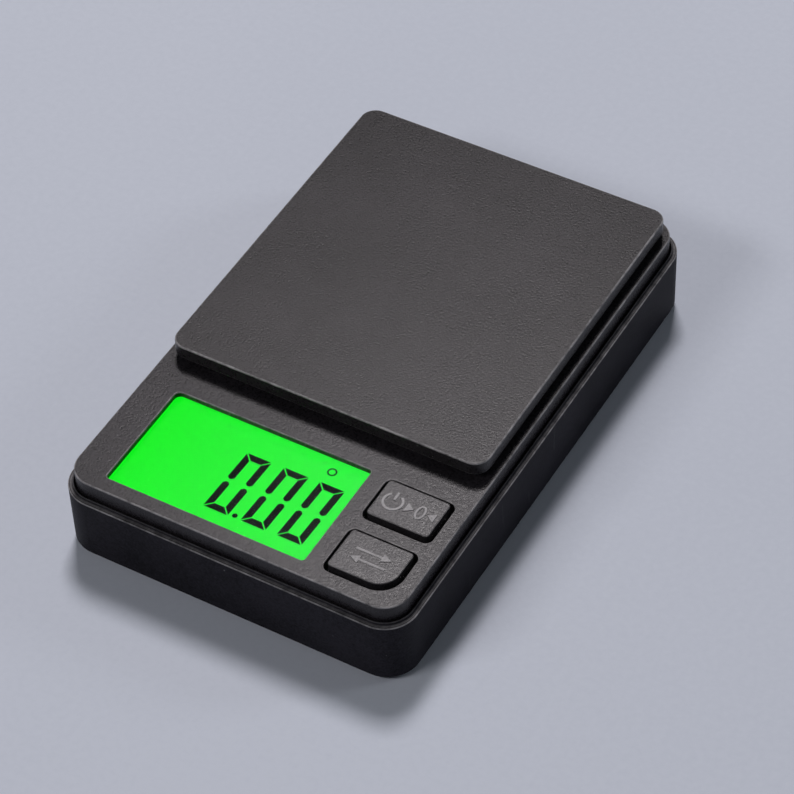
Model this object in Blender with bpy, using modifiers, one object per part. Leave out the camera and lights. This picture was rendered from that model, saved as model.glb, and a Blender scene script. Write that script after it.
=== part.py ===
"""Digital gram scale: a pocket balance with a backlit display, two keys and a flat weighing platform.

X runs across the scale, Y from its display end to its platform end, and Z up. The origin is on the
surface that the scale stands on, under the middle of its case.
"""

import math

import bmesh
import bpy
from mathutils import Matrix, Vector

MM = 0.001

# Case
CASE_WIDTH = 56.5 * MM
CASE_LENGTH = 88.0 * MM
OVERALL_HEIGHT = 18.0 * MM
CASE_CORNER = 5.1 * MM
FOOT_DROP = 0.6 * MM
PLATFORM_STAND = 3.35 * MM
DECK_RISE = 3.15 * MM
FLOOR = 1.4 * MM
TRAY_WALL = 2.3 * MM
LEDGE_WIDTH = 0.62 * MM
LIP_WIDTH = 0.3 * MM
LIP_RISE = 0.45 * MM
PARTING_GAP = 0.25 * MM
COVER_WALL = 1.2 * MM
DECK_PLATE = 1.5 * MM
SKIRT_DEPTH = 4.85 * MM
SNAP_WIDTH = 6.0 * MM
SNAP_REACH = 0.5 * MM
SNAP_HEIGHT = 0.7 * MM
SNAP_SPREAD = 13.0 * MM
BASE_EDGE = 0.6 * MM
CRISP_EDGE = 0.15 * MM

# Clearances
REST_GAP = 0.3 * MM
SLIP_GAP = 0.2 * MM
FILM_GAP = 0.1 * MM
PANEL_GAP = 0.25 * MM
SHANK_GAP = 0.2 * MM

# Weighing platform and the carrier under it
PLATFORM_WIDTH = 52.0 * MM
PLATFORM_LENGTH = 58.0 * MM
PLATFORM_DEPTH = 2.23 * MM
PLATFORM_SKIN = 0.8 * MM
PLATFORM_WALL = 1.0 * MM
PLATFORM_CORNER = 2.5 * MM
PLATFORM_SETBACK = 27.5 * MM
PAD_THICKNESS = 0.55 * MM
PAD_GAP = 0.15 * MM
PAD_WIDTH = 8.0 * MM
CARRIER_INSET = 4.0 * MM
CARRIER_PLATE = 1.0 * MM
CARRIER_CORNER = 2.0 * MM
POST_WIDTH = 10.0 * MM
POST_LENGTH = 8.6 * MM
POST_CLEARANCE = 0.8 * MM
PLATFORM_TRAVEL = 0.25 * MM

# Load cell
CELL_LENGTH = 42.0 * MM
CELL_WIDTH = 9.0 * MM
CELL_HEIGHT = 6.0 * MM
CELL_END_HOLE = 2.5 * MM
CELL_HOLE_PITCH = 5.5 * MM
CELL_LOBE_RADIUS = 2.3 * MM
CELL_LOBE_OFFSET = 4.6 * MM
CELL_SLOT = 1.6 * MM
PEDESTAL_RISE = 2.0 * MM
SPACER_THICKNESS = 0.6 * MM
GAUGE_LENGTH = 11.0 * MM
GAUGE_WIDTH = 6.4 * MM
GAUGE_THICKNESS = 0.5 * MM
GAUGE_CORNER = 1.0 * MM
STOP_RADIUS = 1.5 * MM
STOP_EASE = 0.4 * MM
STOP_CLEARANCE = 0.15 * MM

# Display
WINDOW_WIDTH = 32.55 * MM
WINDOW_LENGTH = 18.85 * MM
WINDOW_SIDE_MARGIN = 5.6 * MM
WINDOW_FRONT_MARGIN = 2.48 * MM
WINDOW_CORNER = 0.8 * MM
WINDOW_DEPTH = 0.9 * MM
LENS_THICKNESS = 0.4 * MM
LENS_MARGIN = 0.6 * MM
GLASS_THICKNESS = 1.0 * MM
GLASS_SIDE_MARGIN = 1.0 * MM
GLASS_FRONT_MARGIN = 0.25 * MM
GLASS_BACK_MARGIN = 0.3 * MM
CONTACT_LEDGE = 1.7 * MM
GUIDE_THICKNESS = 2.0 * MM
FRAME_WALL = 0.6 * MM
FRAME_SHELF = 1.0 * MM
CONNECTOR_WIDTH = 1.2 * MM
CONNECTOR_END_MARGIN = 3.0 * MM
LED_WIDTH = 3.0 * MM
LED_LENGTH = 2.0 * MM
LED_MARGIN = 4.0 * MM

# Keys
KEY_WIDTH = 9.85 * MM
POWER_KEY_LENGTH = 6.9 * MM
MODE_KEY_LENGTH = 7.25 * MM
KEY_SPACE = 3.4 * MM
KEY_SIDE_MARGIN = 2.8 * MM
KEY_FRONT_MARGIN = 3.08 * MM
KEY_CLEARANCE = 0.65 * MM
KEY_RISE = 0.69 * MM
KEY_CORNER = 0.6 * MM
MODE_KEY_CORNER = 3.15 * MM
KEY_FLANGE = 0.5 * MM
KEY_FLANGE_THICKNESS = 0.95 * MM
KEY_POST_RADIUS = 1.5 * MM
SWITCH_WIDTH = 6.0 * MM
SWITCH_HEIGHT = 3.5 * MM
SWITCH_BORE = 1.9 * MM
SWITCH_BORE_DEPTH = 2.0 * MM
PLUNGER_RADIUS = 1.6 * MM
PLUNGER_SUNK = 1.1 * MM
PLUNGER_RISE = 1.2 * MM

# Circuit board
BOARD_THICKNESS = 1.2 * MM
BOARD_RISE = 1.9 * MM
BOARD_SIDE_GAP = 0.5 * MM
BOARD_CORNER = 2.4 * MM
BOARD_BEHIND_WINDOW = 8.5 * MM
BOARD_SCREW_SPREAD = 12.0 * MM
FASTENER_STRIP = 2.6 * MM
BLOB_RADIUS = 4.5 * MM
BLOB_HEIGHT = 1.1 * MM
CONVERTER_WIDTH = 4.0 * MM
CONVERTER_LENGTH = 5.0 * MM
CONVERTER_HEIGHT = 1.0 * MM
CONVERTER_SPACE = 11.0 * MM
CAPACITOR_X = 1.5 * MM
CAPACITOR_RADIUS = 2.0 * MM
CAPACITOR_HEIGHT = 5.0 * MM
CAPACITOR_EASE = 0.3 * MM
CRYSTAL_X = -4.5 * MM
CRYSTAL_WIDTH = 4.8 * MM
CRYSTAL_LENGTH = 2.2 * MM
CRYSTAL_HEIGHT = 1.2 * MM
CRYSTAL_CORNER = 1.0 * MM

# Batteries
BATTERY_DIAMETER = 10.5 * MM
BATTERY_LENGTH = 44.5 * MM
BATTERY_NUB_RADIUS = 1.9 * MM
BATTERY_NUB_LENGTH = 0.8 * MM
BATTERY_EASE = 0.5 * MM
BATTERY_CLEARANCE = 0.25 * MM
BAY_WALL = 1.2 * MM
CONTACT_THICKNESS = 0.3 * MM
CONTACT_SHARE = 0.61
CONTACT_LIFT = 2.2 * MM
CONTACT_HEIGHT = 8.2 * MM
CONTACT_RIB = 0.8 * MM
NOTCH_WIDTH = 3.0 * MM
NOTCH_HEIGHT = 2.4 * MM
SPRING_WIRE = 0.3 * MM
SPRING_WIDE = 3.1 * MM
SPRING_NARROW = 2.1 * MM
SPRING_TURNS = 3.5
SPRING_POINTS_PER_TURN = 10
DOOR_WIDTH = 43.2 * MM
DOOR_HOOK_WIDTH = 5.0 * MM
DOOR_HOOK_SPREAD = 12.0 * MM
DOOR_HOOK_THICKNESS = 0.5 * MM
DOOR_HOOK_REACH = 0.6 * MM
DOOR_HOOK_ROOT = 0.2 * MM
GRIP_GROOVES = 4
GRIP_MARGIN = 2.2 * MM
GRIP_LENGTH = 10.0 * MM
GRIP_WIDTH = 0.8 * MM
GRIP_PITCH = 1.6 * MM
GRIP_DEPTH = 0.35 * MM

# Wires
WIRE_RADIUS = 0.4 * MM
WIRE_STEP = 2.4 * MM
WIRE_LANE = 1.2 * MM
WIRE_END = 1.3 * MM
WIRE_CLIMB = 0.4 * MM
POSITIVE_WIRE_SIDE = 1.5 * MM
POSITIVE_WIRE_X = 7.0 * MM
NEGATIVE_WIRE_X = 8.4 * MM
LEAD_RADIUS = 0.6 * MM
LEAD_X = -8.0 * MM

# Screws and feet
FOOT_RADIUS = 2.3 * MM
FOOT_THICKNESS = 1.0 * MM
FOOT_EASE = 0.2 * MM
FOOT_SIDE = 3.35 * MM
FOOT_END = 5.4 * MM
SCREW_RADIUS = 1.0 * MM
SCREW_HEAD_RADIUS = 1.8 * MM
SCREW_HEAD = 1.2 * MM
HEAD_SINK = 0.3 * MM
HEAD_CROWN = 0.35
HEAD_TOP = 0.75
CASE_SCREW_SPARE = 2.45 * MM
SCREW_HOLE_ROOF = 0.6 * MM
CELL_SCREW_RADIUS = 1.25 * MM
CELL_SCREW_HEAD_RADIUS = 2.2 * MM
CELL_SCREW_BITE = 4.4 * MM
BOSS_RADIUS = 3.0 * MM
COVER_BOSS_RADIUS = 2.1 * MM

# Smoothness of round shapes
CORNER_STEPS = 7
EDGE_STEPS = 2
ROUND_SIDES = 24
SMALL_SIDES = 16
WIRE_RESOLUTION = 2
SMOOTH_ANGLE = math.radians(35)
OVERSHOOT = 1.0 * MM

# Levels that follow from the sizes above
LEFT, RIGHT = -CASE_WIDTH / 2, CASE_WIDTH / 2
FRONT, BACK = -CASE_LENGTH / 2, CASE_LENGTH / 2
BASE = FOOT_DROP
FLOOR_TOP = BASE + FLOOR
DECK_HEIGHT = OVERALL_HEIGHT - PLATFORM_STAND
RIM_HEIGHT = DECK_HEIGHT - DECK_RISE
COVER_INSET = LEDGE_WIDTH + LIP_WIDTH + PARTING_GAP
SKIRT_BOTTOM = DECK_HEIGHT - SKIRT_DEPTH
CEILING = DECK_HEIGHT - DECK_PLATE
BOARD_BOTTOM = FLOOR_TOP + BOARD_RISE + REST_GAP
BOARD_TOP = BOARD_BOTTOM + BOARD_THICKNESS
BOSS_TOP = FLOOR_TOP + BOARD_RISE
SCREW_X = RIGHT - TRAY_WALL - SLIP_GAP - COVER_BOSS_RADIUS
PLATFORM_BOTTOM = OVERALL_HEIGHT - PLATFORM_DEPTH
PLATFORM_FRONT = FRONT + PLATFORM_SETBACK
PLATFORM_Y = PLATFORM_FRONT + PLATFORM_LENGTH / 2
CELL_BOTTOM = FLOOR_TOP + PEDESTAL_RISE + SPACER_THICKNESS + 2 * REST_GAP
CELL_TOP = CELL_BOTTOM + CELL_HEIGHT
CARRIER_TOP = OVERALL_HEIGHT - PLATFORM_SKIN - PAD_THICKNESS - 2 * PAD_GAP
CARRIER_BOTTOM = CARRIER_TOP - CARRIER_PLATE
CELL_OUTER_HOLE = CELL_LENGTH / 2 - CELL_END_HOLE
CELL_INNER_HOLE = CELL_OUTER_HOLE - CELL_HOLE_PITCH
CELL_END_X = (CELL_OUTER_HOLE + CELL_INNER_HOLE) / 2
WINDOW_LEFT = LEFT + COVER_INSET + WINDOW_SIDE_MARGIN
WINDOW_RIGHT = WINDOW_LEFT + WINDOW_WIDTH
WINDOW_FRONT = FRONT + COVER_INSET + WINDOW_FRONT_MARGIN
WINDOW_BACK = WINDOW_FRONT + WINDOW_LENGTH
LENS_TOP = DECK_HEIGHT - WINDOW_DEPTH - FILM_GAP
LENS_BOTTOM = LENS_TOP - LENS_THICKNESS
FRONT_GLASS_TOP = LENS_BOTTOM - PANEL_GAP
REAR_GLASS_TOP = FRONT_GLASS_TOP - GLASS_THICKNESS - REST_GAP
GUIDE_TOP = REAR_GLASS_TOP - GLASS_THICKNESS - REST_GAP
GUIDE_BOTTOM = GUIDE_TOP - GUIDE_THICKNESS
FRAME_TOP = CEILING - PANEL_GAP
FRAME_BOTTOM = BOARD_TOP + REST_GAP
GLASS_LEFT = WINDOW_LEFT - GLASS_SIDE_MARGIN
GLASS_RIGHT = WINDOW_RIGHT + GLASS_SIDE_MARGIN
GLASS_FRONT = WINDOW_FRONT - GLASS_FRONT_MARGIN
REAR_GLASS_BACK = WINDOW_BACK + GLASS_BACK_MARGIN
FRONT_GLASS_BACK = REAR_GLASS_BACK + CONTACT_LEDGE
KEY_X = RIGHT - COVER_INSET - KEY_SIDE_MARGIN - KEY_WIDTH / 2
MODE_KEY_Y = FRONT + COVER_INSET + KEY_FRONT_MARGIN + MODE_KEY_LENGTH / 2
POWER_KEY_Y = MODE_KEY_Y + (MODE_KEY_LENGTH + POWER_KEY_LENGTH) / 2 + KEY_SPACE
BOARD_BACK = WINDOW_BACK + BOARD_BEHIND_WINDOW
FASTENER_Y = BOARD_BACK - FASTENER_STRIP
BATTERY_RADIUS = BATTERY_DIAMETER / 2
BATTERY_Z = FLOOR_TOP + REST_GAP + BATTERY_RADIUS
REAR_BATTERY_Y = BACK - TRAY_WALL - BATTERY_CLEARANCE - BATTERY_RADIUS
FRONT_BATTERY_Y = REAR_BATTERY_Y - BATTERY_DIAMETER - BATTERY_CLEARANCE
BAY_FRONT = FRONT_BATTERY_Y - BATTERY_RADIUS - BATTERY_CLEARANCE
BAY_END = RIGHT - TRAY_WALL
CONTACT_X = BAY_END - REST_GAP - CONTACT_THICKNESS
CONTACT_WIDTH = BATTERY_DIAMETER * CONTACT_SHARE
NUB_X = CONTACT_X - REST_GAP
DOOR_FRONT = BAY_FRONT + REST_GAP
DOOR_BACK = BACK - TRAY_WALL - DOOR_HOOK_REACH - 2 * SLIP_GAP
DOOR_AXIS_Y = DOOR_BACK - FLOOR / 2
DOOR_AXIS_Z = BASE + FLOOR / 2
HEAD_SEAT = BASE + HEAD_SINK + SCREW_HEAD


def cleared_scene():
    """The collections for the parts and for their cutters, in an empty scene."""
    for thing in list(bpy.data.objects):
        bpy.data.objects.remove(thing, do_unlink=True)
    groups = []
    for name in ("digital_gram_scale", "cutters"):
        group = bpy.data.collections.new(name)
        bpy.context.scene.collection.children.link(group)
        groups.append(group)
    return groups


def finish(name, colour, roughness, metallic=0.0, alpha=1.0, glow=None):
    """A Principled material."""
    material = bpy.data.materials.new(name)
    material.use_nodes = True
    shader = material.node_tree.nodes["Principled BSDF"]
    shader.inputs["Base Color"].default_value = (*colour, 1.0)
    shader.inputs["Roughness"].default_value = roughness
    shader.inputs["Metallic"].default_value = metallic
    shader.inputs["Alpha"].default_value = alpha
    if glow:
        shader.inputs["Emission Color"].default_value = (*glow, 1.0)
        shader.inputs["Emission Strength"].default_value = 1.0
    return material


def round_edges(shape, edges, radius, steps):
    bmesh.ops.bevel(
        shape, geom=list(edges), offset=radius, segments=steps, profile=0.5, affect="EDGES",
        clamp_overlap=False,
    )
    shape.normal_update()


def block(x, y, z, corner=0.0, top_edge=0.0, bottom_edge=0.0, odd_corner=0.0):
    """A block between the limits x, y and z, with rounded upright edges.

    odd_corner is the radius of the corner at the greatest x and the least y, where it isn't like the others.
    """
    middle = [(low + high) / 2 for low, high in (x, y, z)]
    size = [high - low for low, high in (x, y, z)]
    shape = bmesh.new()
    placed = Matrix.Translation(middle) @ Matrix.Diagonal((*size, 1.0))
    bmesh.ops.create_cube(shape, size=1.0, matrix=placed)
    uprights = []
    for edge in shape.edges:
        along = (edge.verts[0].co - edge.verts[1].co).normalized()
        if abs(along.z) > 0.9:
            uprights.append(edge)
    odd = [edge for edge in uprights if edge.verts[0].co.x > middle[0] and edge.verts[0].co.y < middle[1]]
    if odd_corner:
        uprights = [edge for edge in uprights if edge not in odd]
        round_edges(shape, odd, odd_corner, CORNER_STEPS)
    if corner:
        round_edges(shape, uprights, corner, CORNER_STEPS)
    for radius, side in ((top_edge, 1), (bottom_edge, -1)):
        if radius:
            shape.normal_update()
            rim = {edge for face in shape.faces if face.normal.z * side > 0.99 for edge in face.edges}
            round_edges(shape, rim, radius, EDGE_STEPS)
    return shape


def drum(x, y, z, radius, sides=ROUND_SIDES):
    """An upright cylinder about the point x, y, between the limits z."""
    shape = bmesh.new()
    placed = Matrix.Translation((x, y, (z[0] + z[1]) / 2))
    bmesh.ops.create_cone(
        shape, cap_ends=True, segments=sides, radius1=radius, radius2=radius, depth=z[1] - z[0], matrix=placed
    )
    return shape


def cross_drum(x, y, z, radius, sides=ROUND_SIDES):
    """A cylinder along Y between the limits y, about the point x, z."""
    shape = bmesh.new()
    placed = Matrix.Translation((x, (y[0] + y[1]) / 2, z)) @ Matrix.Rotation(math.pi / 2, 4, "X")
    bmesh.ops.create_cone(
        shape, cap_ends=True, segments=sides, radius1=radius, radius2=radius, depth=y[1] - y[0], matrix=placed
    )
    return shape


def mesh_of(name, shapes):
    """One mesh that holds the given shapes, which don't touch each other."""
    whole = bmesh.new()
    for shape in shapes:
        piece = bpy.data.meshes.new("piece")
        shape.to_mesh(piece)
        shape.free()
        whole.from_mesh(piece)
        bpy.data.meshes.remove(piece)
    mesh = bpy.data.meshes.new(name)
    whole.to_mesh(mesh)
    whole.free()
    return mesh


def model(name, material, shape, origin=(0.0, 0.0, 0.0)):
    """A part from a shape given in the scale's frame, with its own origin at the given point."""
    mesh = mesh_of(name, [shape])
    mesh.transform(Matrix.Translation(-Vector(origin)))
    mesh.shade_smooth()
    mesh.set_sharp_from_angle(angle=SMOOTH_ANGLE)
    mesh.materials.append(material)
    part = bpy.data.objects.new(name, mesh)
    part.location = origin
    parts.objects.link(part)
    return part


def boolean(part, operation, name, shapes):
    helper = bpy.data.objects.new(f"{part.name}_{name}", mesh_of(name, shapes))
    helper.hide_render = True
    helper.display_type = "WIRE"
    cutters.objects.link(helper)
    modifier = part.modifiers.new(name, "BOOLEAN")
    modifier.operation = operation
    modifier.solver = "EXACT"
    modifier.object = helper


def cut(part, name, *shapes):
    boolean(part, "DIFFERENCE", name, shapes)


def add(part, name, *shapes):
    boolean(part, "UNION", name, shapes)


def turned(name, material, profile, location, rotation=(0.0, 0.0, 0.0), sides=SMALL_SIDES):
    """A turned part: the profile's (radius, height) points run from the top of its axis to the bottom."""
    mesh = bpy.data.meshes.new(name)
    points = [(radius, 0.0, height) for radius, height in profile]
    mesh.from_pydata(points, [(i, i + 1) for i in range(len(points) - 1)], [])
    mesh.materials.append(material)
    part = bpy.data.objects.new(name, mesh)
    part.location = location
    part.rotation_euler = rotation
    parts.objects.link(part)
    turn = part.modifiers.new("turn", "SCREW")
    turn.axis = "Z"
    turn.steps = turn.render_steps = sides
    turn.use_merge_vertices = True
    turn.merge_threshold = 1e-5
    turn.use_smooth_shade = False
    return part


def screw(name, location, radius, head_radius, head, shank, upside_down=False):
    """A pan-head screw whose origin is under its head, on its axis."""
    dome = head * HEAD_CROWN
    profile = (
        (0.0, head),
        (head_radius * HEAD_TOP, head),
        (head_radius, head - dome),
        (head_radius, 0.0),
        (radius, 0.0),
        (radius, -shank + radius),
        (radius / 3, -shank),
        (0.0, -shank),
    )
    return turned(name, steel, profile, location, (math.pi if upside_down else 0.0, 0.0, 0.0))


def tube(name, material, points, radius):
    """A round wire along the given points."""
    curve = bpy.data.curves.new(name, "CURVE")
    curve.dimensions = "3D"
    curve.bevel_depth = radius
    curve.bevel_resolution = WIRE_RESOLUTION
    curve.use_fill_caps = True
    line = curve.splines.new("POLY")
    line.points.add(len(points) - 1)
    for spot, point in zip(line.points, points):
        spot.co = (*point, 1.0)
    curve.materials.append(material)
    part = bpy.data.objects.new(name, curve)
    parts.objects.link(part)
    return part


def smooth_route(stops, step):
    """Points about a step apart on the Catmull-Rom curve through the stops."""
    stops = [Vector(stop) for stop in stops]
    padded = [2 * stops[0] - stops[1], *stops, 2 * stops[-1] - stops[-2]]
    points = []
    for a, b, c, d in zip(padded, padded[1:], padded[2:], padded[3:]):
        count = max(1, round((c - b).length / step))
        for i in range(count):
            t = i / count
            square = (2 * a - 5 * b + 4 * c - d) * t**2
            cube = (3 * b - a - 3 * c + d) * t**3
            points.append((2 * b + (c - a) * t + square + cube) / 2)
    return [*points, stops[-1]]


def inset_block(inset, z, **rounding):
    """A block over the case's outline, drawn in by the inset, with corners that stay concentric."""
    x = (LEFT + inset, RIGHT - inset)
    y = (FRONT + inset, BACK - inset)
    return block(x, y, z, corner=CASE_CORNER - inset, **rounding)


def snap_blocks(grow):
    """The four catches on the cover's skirt, or with some growth, the pockets that they click into."""
    middle = (SKIRT_BOTTOM + RIM_HEIGHT) / 2
    z = (middle - SNAP_HEIGHT / 2 - grow, middle + SNAP_HEIGHT / 2 + grow)
    reach = COVER_INSET - SNAP_REACH - grow
    for x in (-SNAP_SPREAD, SNAP_SPREAD):
        across = (x - SNAP_WIDTH / 2 - grow, x + SNAP_WIDTH / 2 + grow)
        yield block(across, (FRONT + reach, FRONT + COVER_INSET + COVER_WALL / 2), z)
        yield block(across, (BACK - COVER_INSET - COVER_WALL / 2, BACK - reach), z)


def case_screw_places():
    """Name and place of each screw that holds the two halves of the case together."""
    for end, y in (("front", FASTENER_Y), ("rear", PLATFORM_Y)):
        for side, x in (("left", -SCREW_X), ("right", SCREW_X)):
            yield f"case_screw_{end}_{side}", x, y


def board_screw_places():
    for side, x in (("left", -BOARD_SCREW_SPREAD), ("right", BOARD_SCREW_SPREAD)):
        yield f"board_screw_{side}", x, FASTENER_Y


def foot_places():
    for end, y in (("front", FRONT + FOOT_END), ("rear", BACK - FOOT_END)):
        for side, x in (("left", LEFT + FOOT_SIDE), ("right", RIGHT - FOOT_SIDE)):
            yield f"foot_{end}_{side}", x, y


def make_bottom_shell():
    """The tray: a floor and walls whose rim has a ledge and a lip, with the seats for what stands in it."""
    shell = model("bottom_shell", black_plastic, inset_block(0.0, (BASE, RIM_HEIGHT), bottom_edge=BASE_EDGE))
    add(shell, "lip", inset_block(LEDGE_WIDTH, (FLOOR_TOP, RIM_HEIGHT + LIP_RISE)))
    seat = SKIRT_BOTTOM - REST_GAP
    top = RIM_HEIGHT + LIP_RISE + OVERSHOOT
    cut(shell, "cover_seat", inset_block(LEDGE_WIDTH + LIP_WIDTH, (seat, top)))
    cut(shell, "hollow", inset_block(TRAY_WALL, (FLOOR_TOP, top)))
    cut(shell, "snap_pockets", *snap_blocks(SLIP_GAP))

    inner = (LEFT + TRAY_WALL / 2, RIGHT - TRAY_WALL / 2)
    wall_top = CEILING - REST_GAP
    cell_y = (PLATFORM_Y - CELL_WIDTH / 2, PLATFORM_Y + CELL_WIDTH / 2)
    under = FLOOR_TOP - FLOOR / 2
    add(
        shell,
        "bay_wall",
        block(inner, (BAY_FRONT - BAY_WALL, BAY_FRONT), (under, seat)),
    )
    add(shell, "bay_wall_crest", block(
        (LEFT + COVER_INSET + COVER_WALL + SLIP_GAP, RIGHT - COVER_INSET - COVER_WALL - SLIP_GAP),
        (BAY_FRONT - BAY_WALL, BAY_FRONT),
        (under, wall_top),
    ))
    add(shell, "pedestal", block(
        (-CELL_LENGTH / 2, -CELL_INNER_HOLE + CELL_END_HOLE), cell_y, (under, FLOOR_TOP + PEDESTAL_RISE)
    ))
    contact_rib_y = (REAR_BATTERY_Y + FRONT_BATTERY_Y) / 2
    add(shell, "contact_rib", block(
        (CONTACT_X - REST_GAP, RIGHT - TRAY_WALL / 2),
        (contact_rib_y - CONTACT_RIB / 2, contact_rib_y + CONTACT_RIB / 2),
        (FLOOR_TOP + CONTACT_LIFT, seat),
    ))
    screws = [*case_screw_places(), *board_screw_places()]
    add(shell, "bosses", *(drum(x, y, (under, BOSS_TOP), BOSS_RADIUS) for _, x, y in screws))
    add(shell, "stop_boss", drum(CELL_END_X, PLATFORM_Y, (under, FLOOR_TOP + PEDESTAL_RISE), BOSS_RADIUS))

    below = BASE - OVERSHOOT
    cut(shell, "door_opening", block(
        (-DOOR_WIDTH / 2 - REST_GAP, DOOR_WIDTH / 2 + REST_GAP),
        (DOOR_FRONT - REST_GAP, DOOR_BACK + REST_GAP),
        (below, FLOOR_TOP + REST_GAP),
    ))
    cut(shell, "wire_notch", block(
        (CONTACT_X - NOTCH_WIDTH, CONTACT_X + CONTACT_THICKNESS),
        (BAY_FRONT - BAY_WALL - OVERSHOOT, BAY_FRONT + OVERSHOOT),
        (FLOOR_TOP, FLOOR_TOP + NOTCH_HEIGHT),
    ))
    foot_room = BASE + FOOT_THICKNESS - FOOT_DROP + REST_GAP
    cut(shell, "foot_recesses", *(
        drum(x, y, (below, foot_room), FOOT_RADIUS + SLIP_GAP) for _, x, y in foot_places()
    ))
    sunk = HEAD_SEAT + SLIP_GAP
    cut(shell, "screw_recesses", *(
        drum(x, y, (below, sunk), SCREW_HEAD_RADIUS + SLIP_GAP, SMALL_SIDES)
        for _, x, y in case_screw_places()
    ))
    cut(shell, "screw_holes", *(
        drum(x, y, (sunk - SLIP_GAP, BOSS_TOP + OVERSHOOT), SCREW_RADIUS + SHANK_GAP, SMALL_SIDES)
        for _, x, y in case_screw_places()
    ))
    cut(shell, "board_screw_holes", *(
        drum(x, y, (FLOOR_TOP - SLIP_GAP, BOSS_TOP + OVERSHOOT), SCREW_RADIUS + SHANK_GAP, SMALL_SIDES)
        for _, x, y in board_screw_places()
    ))
    fixed_holes = [(-CELL_OUTER_HOLE, PLATFORM_Y), (-CELL_INNER_HOLE, PLATFORM_Y)]
    cut(shell, "cell_screw_recesses", *(
        drum(x, y, (below, sunk), CELL_SCREW_HEAD_RADIUS + SLIP_GAP) for x, y in fixed_holes
    ))
    cut(shell, "cell_screw_holes", *(
        drum(x, y, (sunk - SLIP_GAP, CELL_BOTTOM), CELL_SCREW_RADIUS + SHANK_GAP, SMALL_SIDES)
        for x, y in fixed_holes
    ))
    cut(shell, "stop_hole", drum(
        CELL_END_X, PLATFORM_Y, (below, CELL_BOTTOM), STOP_RADIUS + SHANK_GAP, SMALL_SIDES
    ))


def key_outline(y, length, grow, z, odd_corner=0.0):
    """A key's outline, grown by a clearance: 0 for the key itself, and more for its opening and flange."""
    return block(
        (KEY_X - KEY_WIDTH / 2 - grow, KEY_X + KEY_WIDTH / 2 + grow),
        (y - length / 2 - grow, y + length / 2 + grow),
        z,
        corner=KEY_CORNER + grow / 2,
        odd_corner=odd_corner + grow if odd_corner else 0.0,
    )


def make_top_cover():
    """The raised deck, with its skirt inside the tray's lip."""
    deck = (SKIRT_BOTTOM, DECK_HEIGHT)
    cover = model("top_cover", black_plastic, inset_block(COVER_INSET, deck, top_edge=CRISP_EDGE))
    cut(cover, "hollow", inset_block(COVER_INSET + COVER_WALL, (SKIRT_BOTTOM - OVERSHOOT, CEILING)))
    add(cover, "snaps", *snap_blocks(0.0))
    front_boss = BOARD_TOP + REST_GAP
    rear_boss = BOSS_TOP + REST_GAP
    into_deck = CEILING + DECK_PLATE / 2
    bosses = [(x, y, front_boss if y < 0 else rear_boss) for _, x, y in case_screw_places()]
    add(cover, "bosses", *(drum(x, y, (low, into_deck), COVER_BOSS_RADIUS) for x, y, low in bosses))

    above = DECK_HEIGHT + OVERSHOOT
    through = (CEILING - OVERSHOOT, above)
    cut(cover, "window_opening", block(
        (WINDOW_LEFT, WINDOW_RIGHT), (WINDOW_FRONT, WINDOW_BACK), through, corner=WINDOW_CORNER
    ))
    seat = LENS_MARGIN + SLIP_GAP
    cut(cover, "lens_seat", block(
        (WINDOW_LEFT - seat, WINDOW_RIGHT + seat),
        (WINDOW_FRONT - seat, WINDOW_BACK + seat),
        (CEILING - OVERSHOOT, DECK_HEIGHT - WINDOW_DEPTH),
    ))
    cut(cover, "key_openings",
        key_outline(POWER_KEY_Y, POWER_KEY_LENGTH, KEY_CLEARANCE, through),
        key_outline(MODE_KEY_Y, MODE_KEY_LENGTH, KEY_CLEARANCE, through, MODE_KEY_CORNER))
    half_width = POST_WIDTH / 2 + POST_CLEARANCE
    half_length = POST_LENGTH / 2 + POST_CLEARANCE
    cut(cover, "post_opening", block(
        (CELL_END_X - half_width, CELL_END_X + half_width),
        (PLATFORM_Y - half_length, PLATFORM_Y + half_length),
        through,
        corner=CARRIER_CORNER / 2,
    ))
    cut(cover, "screw_holes", *(
        drum(x, y, (low - OVERSHOOT, CEILING - SCREW_HOLE_ROOF), SCREW_RADIUS + SHANK_GAP, SMALL_SIDES)
        for x, y, low in bosses
    ))


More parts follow.
